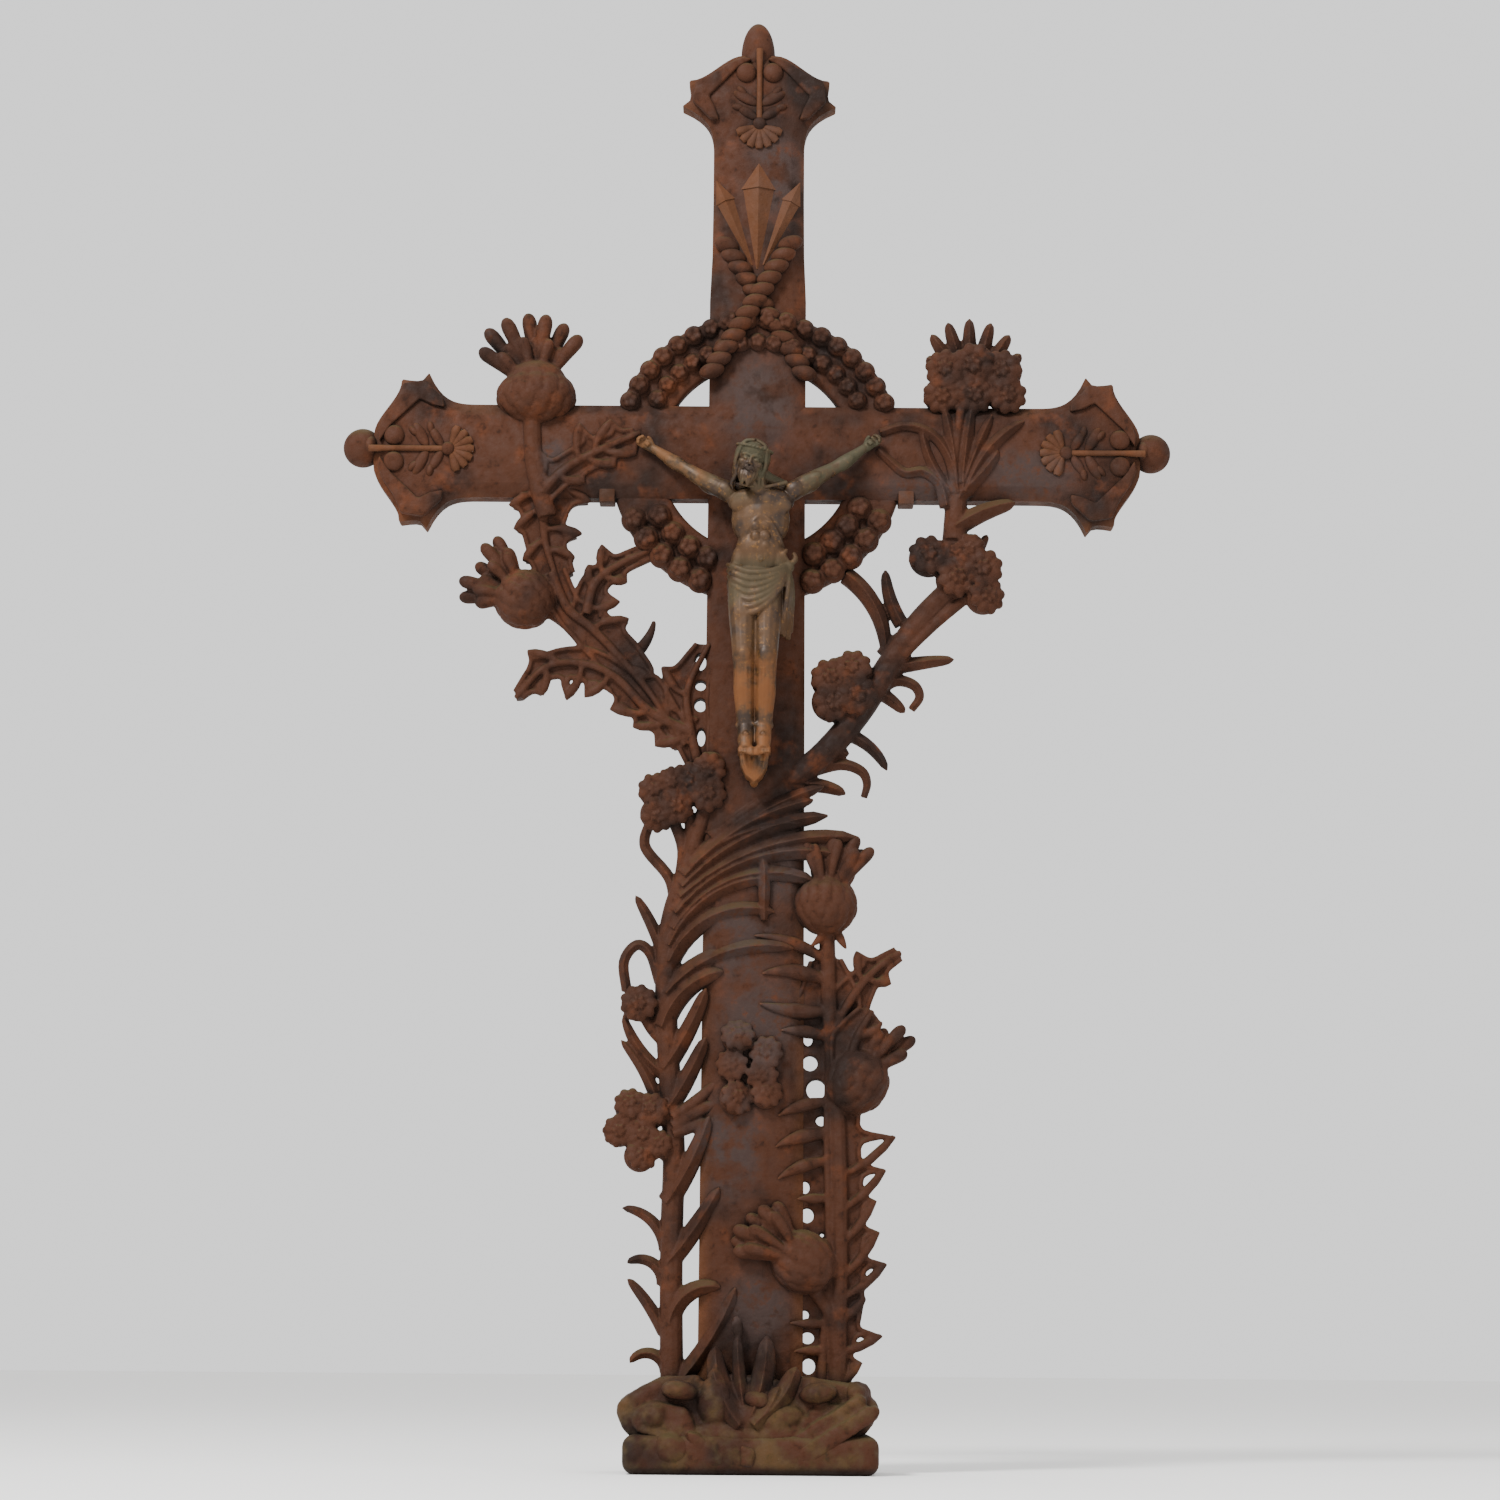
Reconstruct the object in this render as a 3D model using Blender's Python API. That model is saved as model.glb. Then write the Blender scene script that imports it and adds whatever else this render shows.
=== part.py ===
"""Cast iron crucifix: one iron casting with its plants and rocky foot, and the figure fixed to its front.

Metres, +Z up, the front faces -Y, and the origin is the middle of the underside.
"""

import math

import bmesh
import bpy
from mathutils import Matrix, Vector

MM = 0.001

# Heights of the cross, from the ground that it stands on
TOTAL_HEIGHT = 1.400
TOP_FINIAL_HEIGHT = 0.036
BEAM_AXIS_HEIGHT = 0.9655
ROCK_HEIGHT = 0.088

# Shaft and crossbeam
BEAM_SPAN = 0.798
BEAM_WIDTH = 0.0914
SHAFT_FOOT_WIDTH = 0.098
SHAFT_WIDTH = 0.093
SHAFT_NECK_WIDTH = 0.088
BODY_DEPTH = 0.028
FACE_FORWARD = 0.020
CHAMFER_WIDTH = 0.0125
CHAMFER_DEPTH = 0.008
CASTING_WALL = 0.010
FACE_WALL = 0.010

# Cusped ends of the shaft and the beam
FLARE_LENGTH = 0.108
FLARE_RISE = 0.030
CUSP_FROM_END = 0.0525
INNER_CUSP_FROM_END = 0.026
INNER_CUSP_DROP = 0.007
NECK_TAPER = (0.43232, 0.83636)
FINIAL_RADIUS = 0.0190
FINIAL_LIFT = 0.004
TOP_FINIAL_RADIUS = 0.0165
BERRY_RADIUS = 0.009
BERRY_SPACING = 0.026
BERRY_FROM_END = 0.020
SPRIG_FLOWER_FROM_END = 0.086
SPRIG_FLOWER_RADIUS = 0.019
SPRIG_RELIEF = 0.0035

# Wreath ring
RING_OUTER_RADIUS = 0.142
RING_INNER_RADIUS = 0.092
RING_DROP = 0.003
RING_FRONT = 0.012
RING_BACK = 0.005
BUD_RADIUS = 0.0118
BUDS_IN_A_ROW = 33

# Ropes on the upper shaft
ROPE_RADIUS = 0.0105
ROPE_TWISTS = 9

# Lugs under the beam
LUG_WIDTH = 0.015
LUG_DROP = 0.004
LUG_RISE = 0.010
LUG_PLACE = 0.1435

# Plants: half thickness and middle depth of the flat leaves, and the usual blade of grass
LEAF_THICKNESS = 0.022
LEAF_DEPTH = -0.006
BLADE_RADIUS = 5.4
BLADE_TIP = 0.42
RIDGE_SECTION = ((-1.0, -1.0), (1.0, -1.0), (0.0, 1.1))
TOOTH_BASE = 13.0
SPRIG_PETALS = 3
CLOTH_FOLDS = 3

# Rocky foot
PLINTH_WIDTH = 0.234
PLINTH_HEIGHT = 0.036
FOOT_DEPTH = 0.145
PLINTH_ROUND = 0.009

# Figure
FIGURE_GAP = 0.0004

# The plants and the figure are drawn in millimetres on a cross with these sizes. What is drawn above
# DRAWN_CARRIED moves with the beam as it is, and the nails and ropes fill the neck between their two marks.
DRAWN_PLINTH = 36.0
DRAWN_ROCK = 88.0
DRAWN_CARRIED = 560.0
DRAWN_BEAM_AXIS = 965.5
DRAWN_NECK = (1045.0, 1256.0)
DRAWN_SHAFT_HALF = 46.5

FRONT = -FACE_FORWARD
BACK = BODY_DEPTH - FACE_FORWARD
TOP_SHOULDER = TOTAL_HEIGHT - TOP_FINIAL_HEIGHT
SIDE_SHOULDER = BEAM_SPAN / 2 - 1.6 * FINIAL_RADIUS


def clear_scene():
    for obj in list(bpy.data.objects):
        bpy.data.objects.remove(obj, do_unlink=True)


def new_collection(name):
    group = bpy.data.collections.new(name)
    bpy.context.scene.collection.children.link(group)
    return group


def new_material(name, colour, metallic, roughness):
    material = bpy.data.materials.new(name)
    material.use_nodes = True
    shader = material.node_tree.nodes["Principled BSDF"]
    shader.inputs["Base Color"].default_value = (*colour, 1.0)
    shader.inputs["Metallic"].default_value = metallic
    shader.inputs["Roughness"].default_value = roughness
    return material


def between(value, marks, places):
    """The place of a value on a line that is straight between marks and keeps its last slope beyond."""
    for low in range(len(marks) - 1):
        if value <= marks[low + 1] or low == len(marks) - 2:
            share = (value - marks[low]) / (marks[low + 1] - marks[low])
            return places[low] + share * (places[low + 1] - places[low])
    return places[-1]


def aside(x):
    """A drawn distance from the middle line: a share of the shaft's half width on it, kept as drawn beside it."""
    beyond = max(0.0, abs(x) - DRAWN_SHAFT_HALF)
    side = (abs(x) - beyond) / DRAWN_SHAFT_HALF * SHAFT_WIDTH / 2 + beyond * MM
    return math.copysign(side, x)


def spot(x, z, y):
    """A drawn point, in millimetres, carried onto this cross; y is in metres and stays."""
    carried = BEAM_AXIS_HEIGHT - (DRAWN_BEAM_AXIS - DRAWN_CARRIED) * MM
    marks = (0.0, DRAWN_PLINTH, DRAWN_ROCK, DRAWN_CARRIED)
    if z > DRAWN_CARRIED:
        return Vector((aside(x), y, carried + (z - DRAWN_CARRIED) * MM))
    return Vector((aside(x), y, between(z, marks, (0.0, PLINTH_HEIGHT, ROCK_HEIGHT, carried))))


def neck_spot(x, z, y):
    """A drawn point of the nails and ropes, carried onto the neck between the beam and the upper end."""
    low = BEAM_AXIS_HEIGHT + (DRAWN_NECK[0] - DRAWN_BEAM_AXIS) * MM
    return Vector((aside(x), y, between(z, DRAWN_NECK, (low, TOP_SHOULDER - FLARE_LENGTH))))


def object_from(bm, name, group):
    mesh = bpy.data.meshes.new(name)
    bm.to_mesh(mesh)
    bm.free()
    obj = bpy.data.objects.new(name, mesh)
    group.objects.link(obj)
    return obj


def as_shape(obj):
    """Marks an object as a helper that a Boolean joins or cuts with."""
    obj.hide_render = True
    obj.display_type = "WIRE"
    return obj


def mesh_from_curve(curve, name, group, matrix):
    """Makes a curve a closed mesh, with its caps welded to its sides."""
    obj = bpy.data.objects.new(name + "_line", curve)
    group.objects.link(obj)
    obj.matrix_world = matrix
    bpy.context.view_layer.update()
    mesh = bpy.data.meshes.new_from_object(obj.evaluated_get(bpy.context.evaluated_depsgraph_get()))
    bm = bmesh.new()
    bm.from_mesh(mesh)
    bm.transform(matrix)
    bmesh.ops.remove_doubles(bm, verts=bm.verts, dist=1e-6)
    bmesh.ops.recalc_face_normals(bm, faces=bm.faces)
    bpy.data.objects.remove(obj, do_unlink=True)
    bpy.data.meshes.remove(mesh)
    return as_shape(object_from(bm, name, group))


def plate(name, group, outlines, middle, thickness):
    """A flat outline, with any holes after it, in metres of x and z, cut from a sheet across y."""
    curve = bpy.data.curves.new(name, "CURVE")
    curve.dimensions = "2D"
    curve.fill_mode = "BOTH"
    curve.extrude = thickness / 2
    for outline in outlines:
        spline = curve.splines.new("POLY")
        spline.points.add(len(outline) - 1)
        for point, (x, z) in zip(spline.points, outline):
            point.co = (x, z, 0.0, 1.0)
        spline.use_cyclic_u = True
    matrix = Matrix.Translation((0.0, middle, 0.0)) @ Matrix.Rotation(math.pi / 2, 4, "X")
    return mesh_from_curve(curve, name, group, matrix)


def rod(name, group, points, radii, sides=6, profile=None):
    """A bar through points in metres, with its radius in millimetres at each, round or with a profile."""
    curve = bpy.data.curves.new(name, "CURVE")
    curve.dimensions = "3D"
    curve.twist_mode = "Z_UP"
    if profile:
        curve.bevel_mode = "OBJECT"
        curve.bevel_object = profile
    else:
        curve.bevel_depth = MM
        curve.bevel_resolution = (sides - 4) // 2
    curve.use_fill_caps = True
    spline = curve.splines.new("POLY")
    spline.points.add(len(points) - 1)
    for point, place, radius in zip(spline.points, points, radii):
        point.co = (place.x, place.z, -place.y, 1.0)
        point.radius = radius
    return mesh_from_curve(curve, name, group, Matrix.Rotation(math.pi / 2, 4, "X"))


def twisted_rod(name, group, points, radius, twist):
    """A square bar that turns by an angle in degrees from each point to the next."""
    curve = bpy.data.curves.new(name, "CURVE")
    curve.dimensions = "3D"
    curve.twist_mode = "Z_UP"
    curve.bevel_depth = MM
    curve.bevel_resolution = 0
    curve.use_fill_caps = True
    spline = curve.splines.new("POLY")
    spline.points.add(len(points) - 1)
    for i, (point, place) in enumerate(zip(spline.points, points)):
        point.co = (place.x, place.z, -place.y, 1.0)
        point.radius = radius
        point.tilt = math.radians(twist * i)
    return mesh_from_curve(curve, name, group, Matrix.Rotation(math.pi / 2, 4, "X"))


def ridge_profile(group):
    """The section of a leaf or a petal: a flat back and a ridge along the front."""
    curve = bpy.data.curves.new("ridge", "CURVE")
    curve.dimensions = "2D"
    spline = curve.splines.new("POLY")
    spline.points.add(2)
    for point, (x, y) in zip(spline.points, RIDGE_SECTION):
        point.co = (x * MM, y * MM, 0.0, 1.0)
    spline.use_cyclic_u = True
    obj = bpy.data.objects.new("ridge", curve)
    group.objects.link(obj)
    obj.hide_render = True
    return obj


def lump(name, group, centre, radii, turn=0.0, fine=1):
    """An ellipsoid, turned in the plane of the cross by an angle in degrees."""
    bm = bmesh.new()
    bmesh.ops.create_icosphere(bm, subdivisions=fine, radius=1.06 if fine == 1 else 1.015)
    matrix = Matrix.Translation(centre) @ Matrix.Rotation(math.radians(-turn), 4, "Y")
    bm.transform(matrix @ Matrix.Diagonal((*radii, 1.0)))
    return as_shape(object_from(bm, name, group))


def smooth_path(points, steps):
    """Points on a smooth curve through the given ones, as many to each stretch as steps says."""
    ends = [points[0] * 2 - points[1]] + list(points) + [points[-1] * 2 - points[-2]]
    path = []
    for i in range(len(points) - 1):
        a, b, c, d = ends[i : i + 4]
        for step in range(steps):
            t = step / steps
            square, cube = 2 * a - 5 * b + 4 * c - d, 3 * b - a - 3 * c + d
            path.append(0.5 * (2 * b + (c - a) * t + square * t**2 + cube * t**3))
    return path + [points[-1]]


def arc_path(root, tip, turn, steps):
    """Drawn points on a circular arc from root to tip that turns by so many degrees, bulging to its left."""
    start = Vector(root)
    chord = Vector(tip) - start
    left = Vector((-chord.y, chord.x)).normalized()
    half = math.radians(turn) / 2
    if abs(half) < 0.02:
        return [start + chord * i / steps for i in range(steps + 1)]
    radius = chord.length / (2 * math.sin(half))
    path = []
    for i in range(steps + 1):
        angle = -half + 2 * half * i / steps
        along = radius * (math.sin(angle) + math.sin(half))
        path.append(start + chord.normalized() * along + left * radius * (math.cos(angle) - math.cos(half)))
    return path


def blade(name, group, root, tip, turn=30.0, width=1.0, depths=(LEAF_DEPTH, LEAF_DEPTH), steps=3):
    """A blade of grass: a tapering ridged bar along an arc, in drawn millimetres, between two depths."""
    path = arc_path(root, tip, turn, steps)
    places = [spot(p.x, p.y, depths[0] + (depths[1] - depths[0]) * i / steps) for i, p in enumerate(path)]
    radii = [BLADE_RADIUS * width * (1.0 - (1.0 - BLADE_TIP) * (i / steps) ** 2) for i in range(steps + 1)]
    return rod(name, group, places, radii, profile=bpy.data.objects["ridge"])


def tendril(name, group, points, radii, depth=LEAF_DEPTH, steps=2, ridged=False):
    """A stem or a curling blade along a smooth curve through drawn points, with its two end radii in mm."""
    path = smooth_path([Vector(p) for p in points], steps)
    last = len(path) - 1
    places = [spot(p.x, p.y, depth) for p in path]
    radii_along = [radii[0] + (radii[1] - radii[0]) * i / last for i in range(last + 1)]
    return rod(name, group, places, radii_along, 4, bpy.data.objects["ridge"] if ridged else None)


def nearest_on(path, point):
    """The place along a path, as a decimal index, that is nearest a point, with its distance and side."""
    best = None
    for i in range(len(path) - 1):
        run = path[i + 1] - path[i]
        share = max(0.0, min(1.0, (point - path[i]).dot(run) / run.length_squared))
        away = point - (path[i] + run * share)
        if best is None or away.length < best[1]:
            best = (i + share, away.length, 1.0 if run.x * away.y - run.y * away.x > 0 else -1.0)
    return best


def side_of_leaf(path, widths, teeth, side):
    """One edge of a spiny leaf, from root to tip: the half width along it, with a spine at each tooth."""
    last = len(path) - 1
    tips = sorted(found[:2] for found in (nearest_on(path, Vector(t)) for t in teeth) if found[2] == side)
    marks = [last * i / (len(widths) - 1) for i in range(len(widths))]
    half_base = TOOTH_BASE / 2 * last / sum((b - a).length for a, b in zip(path, path[1:]))
    stops = [(i, between(i, marks, widths)) for i in range(last)]
    for place, reach in tips:
        root, stop = max(0.02, place - half_base), min(last - 0.02, place + half_base)
        stops = [s for s in stops if not root - 0.15 < s[0] < stop + 0.15]
        stops += [(root, between(root, marks, widths)), (place, reach), (stop, between(stop, marks, widths))]
    edge = []
    reached = -1.0
    for place, away in sorted(stops):
        if place <= reached:
            continue
        reached = place
        i = max(0, min(last - 1, int(place)))
        run = path[i + 1] - path[i]
        edge.append(path[i] + run * (place - i) + Vector((-run.y, run.x)).normalized() * side * away)
    return edge


def oval(x, z, width, height, points=5):
    """A drawn oval hole, as metres of x and z."""
    turns = [2 * math.pi * i / points for i in range(points)]
    places = [spot(x + width / 2 * math.cos(a), z + height / 2 * math.sin(a), 0.0) for a in turns]
    return [(p.x, p.z) for p in places]


def spiny_leaf(
    name, group, midrib, widths, teeth, holes=(), middle=LEAF_DEPTH, thickness=LEAF_THICKNESS, steps=2
):
    """A flat thistle leaf about a smooth midrib, its half widths from root to tip, with spines and holes."""
    path = smooth_path([Vector(p) for p in midrib], steps)
    left = side_of_leaf(path, widths, teeth, 1.0)
    right = side_of_leaf(path, widths, teeth, -1.0)
    outline = left + [path[-1]] + right[::-1]
    places = [spot(p.x, p.y, 0.0) for p in outline]
    outlines = [[(p.x, p.z) for p in places]] + [oval(*hole) for hole in holes]
    return plate(name, group, outlines, middle, thickness)


def stud(name, group, centre, radius, back, front, sides, turn=0.0):
    """A blunt cone that faces forward, its base at one depth and its flat top at another."""
    bm = bmesh.new()
    depth = back - front
    bmesh.ops.create_cone(
        bm, cap_ends=True, segments=sides, radius1=radius, radius2=0.45 * radius, depth=depth
    )
    middle = Matrix.Translation((centre.x, (back + front) / 2, centre.z))
    facing = Matrix.Rotation(math.pi / 2, 4, "X") @ Matrix.Rotation(math.radians(turn), 4, "Z")
    bm.transform(middle @ facing)
    return as_shape(object_from(bm, name, group))


def flower_head(name, group, x, z, radius, middle, relief):
    """An everlasting flower: a faceted dome, its radius in millimetres."""
    high = radius * MM * relief
    wide = 1.08 * radius * MM
    stud(name, group, spot(x, z, middle), wide, middle + 0.45 * high, middle - high, 5, 29.0 * x)


def flower_cluster(name, group, heads, middle=-0.014, relief=0.9):
    for i, (x, z, radius) in enumerate(heads):
        flower_head(f"{name}_{i}", group, x, z, radius, middle - 0.0007 * i, relief)


def thistle_head(name, group, x, z, radii, tips, reach_in=0.35, depth=-0.014):
    """A thistle: a round bulb with a crown of finger-like petals, each ending at a drawn tip."""
    across, deep, high = (r * MM for r in radii)
    bm = bmesh.new()
    bmesh.ops.create_uvsphere(bm, u_segments=8, v_segments=4, radius=1.04)
    bm.transform(Matrix.Translation(spot(x, z, depth)) @ Matrix.Diagonal((across, deep, high, 1.0)))
    as_shape(object_from(bm, name + "_bulb", group))
    for i, (tip_x, tip_z) in enumerate(tips):
        root = (x + (tip_x - x) * reach_in, z + (tip_z - z) * reach_in)
        fan_depth = depth + (0.004 if i % 2 else -0.003)
        blade(f"{name}_petal_{i}", group, root, (tip_x, tip_z), 0.0, 1.25, (fan_depth, fan_depth), 1)


def flare_side(half_width):
    """One side of a cusped end, from the neck to the finial, as distances from the end and from the axis."""
    cusp = half_width + FLARE_RISE
    inner_cusp = cusp - INNER_CUSP_DROP
    side = []
    for u in (0.0, 0.4, 0.65, 0.83, 1.0):
        along = FLARE_LENGTH + (CUSP_FROM_END - FLARE_LENGTH) * u
        side.append((along, half_width + FLARE_RISE * u**4.2))
    side += [(CUSP_FROM_END - 0.011, inner_cusp + 0.0015), (INNER_CUSP_FROM_END, inner_cusp)]
    finial_foot = TOP_FINIAL_RADIUS * 0.95
    for t in (0.74, 0.48, 0.24, 0.0):
        away = finial_foot + (inner_cusp - finial_foot) * t
        side.append((INNER_CUSP_FROM_END * t * t * (3.0 - 2.0 * t), away))
    return side


def inset(outline, distance):
    """An anticlockwise outline moved inward, corner by corner."""
    moved = []
    for i, (x, z) in enumerate(outline):
        here = Vector((x, z))
        before = (here - Vector(outline[i - 1])).normalized()
        after = (Vector(outline[(i + 1) % len(outline)]) - here).normalized()
        inward = Vector((-before.y - after.y, before.x + after.x)).normalized()
        stretch = max(0.45, inward.dot(Vector((-before.y, before.x))))
        moved.append(here + inward * distance / stretch)
    return moved


def cross_outline():
    """The outline of the cross, anticlockwise from the foot of its right side."""
    beam_half = BEAM_WIDTH / 2
    beam_side = flare_side(beam_half)
    top_side = flare_side(SHAFT_NECK_WIDTH / 2)
    right_foot = [(SHAFT_FOOT_WIDTH / 2, PLINTH_HEIGHT / 2), (SHAFT_WIDTH / 2, BEAM_AXIS_HEIGHT - beam_half)]
    right_arm = [(SIDE_SHOULDER - s, BEAM_AXIS_HEIGHT - away) for s, away in beam_side]
    right_arm += [(SIDE_SHOULDER - s, BEAM_AXIS_HEIGHT + away) for s, away in beam_side[::-1]]
    armpit = [(SHAFT_WIDTH / 2, BEAM_AXIS_HEIGHT + beam_half)]
    neck_low, neck_high = BEAM_AXIS_HEIGHT + beam_half, TOP_SHOULDER - FLARE_LENGTH
    waist = [
        (half, neck_low + (neck_high - neck_low) * share)
        for half, share in zip((SHAFT_WIDTH / 2, SHAFT_NECK_WIDTH / 2), NECK_TAPER)
    ]
    right_top = [(away, TOP_SHOULDER - s) for s, away in top_side]
    right = right_foot + right_arm + armpit + waist + right_top
    return right + [(-x, z) for x, z in reversed(right)]


def cross_body(group):
    """Shaft, beam and ends as one slab, with a chamfer round the front."""
    bm = bmesh.new()
    outline = cross_outline()
    loops = []
    face = inset(outline, CHAMFER_WIDTH)
    for y, points in ((BACK, outline), (FRONT + CHAMFER_DEPTH, outline), (FRONT, face)):
        loops.append([bm.verts.new((x, y, z)) for x, z in points])
    bm.faces.new(loops[0][::-1])
    for low, high in zip(loops, loops[1:]):
        for i in range(len(outline)):
            bm.faces.new((low[i - 1], low[i], high[i], high[i - 1]))
    bm.faces.new(loops[2])
    bmesh.ops.recalc_face_normals(bm, faces=bm.faces)
    return object_from(bm, "iron_cross", group)


def end_ornament(name, group, end, inward, across):
    """The sprig on a cusped end: two berries, a stem, small leaves and a drooping flower."""

    def place(along, aside, lift=0.0):
        flat = end + inward * along + across * aside
        return Vector((flat.x, FRONT - lift, flat.y))

    for side in (-1, 1):
        centre = place(BERRY_FROM_END, side * BERRY_SPACING / 2)
        lump(f"{name}_berry_{side}", group, centre, (BERRY_RADIUS, SPRIG_RELIEF, BERRY_RADIUS))
        leaf_foot, leaf_tip = place(0.052, side * 0.004), place(0.044, side * 0.026)
        rod(f"{name}_leaf_{side}", group, [leaf_foot, leaf_tip], (2.6, SPRIG_RELIEF / MM), 4)
    rod(name + "_stem", group, [place(0.002, 0.0), place(SPRIG_FLOWER_FROM_END - 0.012, 0.0)], (2.6, 3.2), 4)
    heart = place(SPRIG_FLOWER_FROM_END - 0.012, 0.0)
    for i in range(SPRIG_PETALS):
        angle = math.radians(110.0 * (i / (SPRIG_PETALS - 1) - 0.5))
        reach = Vector((math.cos(angle), math.sin(angle))) * SPRIG_FLOWER_RADIUS
        tip = place(SPRIG_FLOWER_FROM_END - 0.012 + reach.x, reach.y)
        rod(f"{name}_flower_{i}", group, [heart, tip], (2.8, 1.3 * SPRIG_RELIEF / MM), 4)


def ends(group):
    """Finials and sprigs on the two arms and the top."""
    up, right = Vector((0.0, 1.0)), Vector((1.0, 0.0))
    for name, sign in (("left_end", -1.0), ("right_end", 1.0)):
        end = Vector((sign * SIDE_SHOULDER, BEAM_AXIS_HEIGHT))
        end_ornament(name, group, end, right * -sign, up)
        ball_x = sign * (BEAM_SPAN / 2 - FINIAL_RADIUS)
        radii = (FINIAL_RADIUS, FINIAL_RADIUS * 0.94, FINIAL_RADIUS)
        lump(name + "_finial", group, (ball_x, -0.002, BEAM_AXIS_HEIGHT + FINIAL_LIFT), radii, fine=2)
    end_ornament("top_end", group, Vector((0.0, TOP_SHOULDER)), -up, right)
    egg = TOP_FINIAL_HEIGHT * 0.95
    egg_centre = (0.0, -0.002, TOTAL_HEIGHT - 1.015 * egg)
    lump("top_end_finial", group, egg_centre, (TOP_FINIAL_RADIUS, TOP_FINIAL_RADIUS, egg), fine=2)


def ring(group):
    """The wreath: a band behind the beam's face, two rows of buds, and the buds that cross the shaft."""
    centre = Vector((0.0, BEAM_AXIS_HEIGHT - RING_DROP))
    steps = 28
    turns = [2 * math.pi * (i + 0.5) / steps for i in range(steps)]
    rings = []
    for radius in (RING_OUTER_RADIUS, RING_INNER_RADIUS):
        rings.append([(centre.x + radius * math.cos(a), centre.y + radius * math.sin(a)) for a in turns])
    plate("ring_band", group, rings, (RING_BACK - RING_FRONT) / 2, RING_FRONT + RING_BACK)
    beam_clear = BEAM_WIDTH / 2 - 0.2 * BUD_RADIUS
    shaft_clear = SHAFT_WIDTH / 2 - 0.5 * BUD_RADIUS
    rows = (RING_OUTER_RADIUS - 1.05 * BUD_RADIUS, RING_INNER_RADIUS + 1.15 * BUD_RADIUS)
    for row, radius in enumerate(rows):
        bud = min(BUD_RADIUS, 0.47 * 2 * math.pi * radius / BUDS_IN_A_ROW)
        for i in range(BUDS_IN_A_ROW):
            angle = 2 * math.pi * (i + 0.5 * row) / BUDS_IN_A_ROW
            across, up = radius * math.cos(angle), radius * math.sin(angle)
            over_shaft = abs(across) < shaft_clear
            if abs(up) < beam_clear or (over_shaft and up < 0):
                continue
            base = (FRONT if over_shaft else -RING_FRONT) + 0.002
            where = Vector((centre.x + across, 0.0, centre.y + up))
            stud(f"bud_{row}_{i}", group, where, bud, base, base - 0.010, 5, math.degrees(angle))


def nails_and_ropes(group):
    """Three nails fanned above two crossed twisted ropes, on the upper shaft."""
    lift = FRONT - 0.001
    for name, head, point, width in (
        ("middle", (0.0, 1250.0), (0.0, 1150.0), 15.5),
        ("left", (-40.0, 1232.0), (-7.0, 1152.0), 12.0),
        ("right", (40.0, 1232.0), (7.0, 1152.0), 12.0),
    ):
        top, foot = Vector(head), Vector(point)
        neck, root = top + (foot - top) * 0.27, top + (foot - top) * 0.2
        places = [neck_spot(at.x, at.y, lift) for at in (top, neck, root, foot)]
        rod(f"nail_{name}_head", group, places[:2], (0.8, width), 4)
        rod(f"nail_{name}_shank", group, places[2:], (0.52 * width, 1.6), 6)
    for name, start, stop, middle in (
        ("back", (-31.0, 1172.0), (41.0, 1060.0), FRONT - 0.002),
        ("front", (32.0, 1168.0), (-42.0, 1052.0), FRONT - 0.008),
    ):
        first, last = Vector(start), Vector(stop)
        along = [first + (last - first) * i / ROPE_TWISTS for i in range(ROPE_TWISTS + 1)]
        places = [neck_spot(at.x, at.y, middle) for at in along]
        twisted_rod(f"rope_{name}", group, places, ROPE_RADIUS / MM, 47.0)


def lugs(group):
    """Square lugs cast under the beam, one on each side of the wreath."""
    for side in (-1, 1):
        low = BEAM_AXIS_HEIGHT - BEAM_WIDTH / 2 - LUG_DROP
        high = low + LUG_DROP + LUG_RISE
        left, right = side * LUG_PLACE - LUG_WIDTH / 2, side * LUG_PLACE + LUG_WIDTH / 2
        box = [(left, low), (right, low), (right, high), (left, high)]
        plate(f"lug_{side}", group, [box], (FRONT + 0.003 + BACK) / 2, BACK - FRONT - 0.003)


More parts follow.
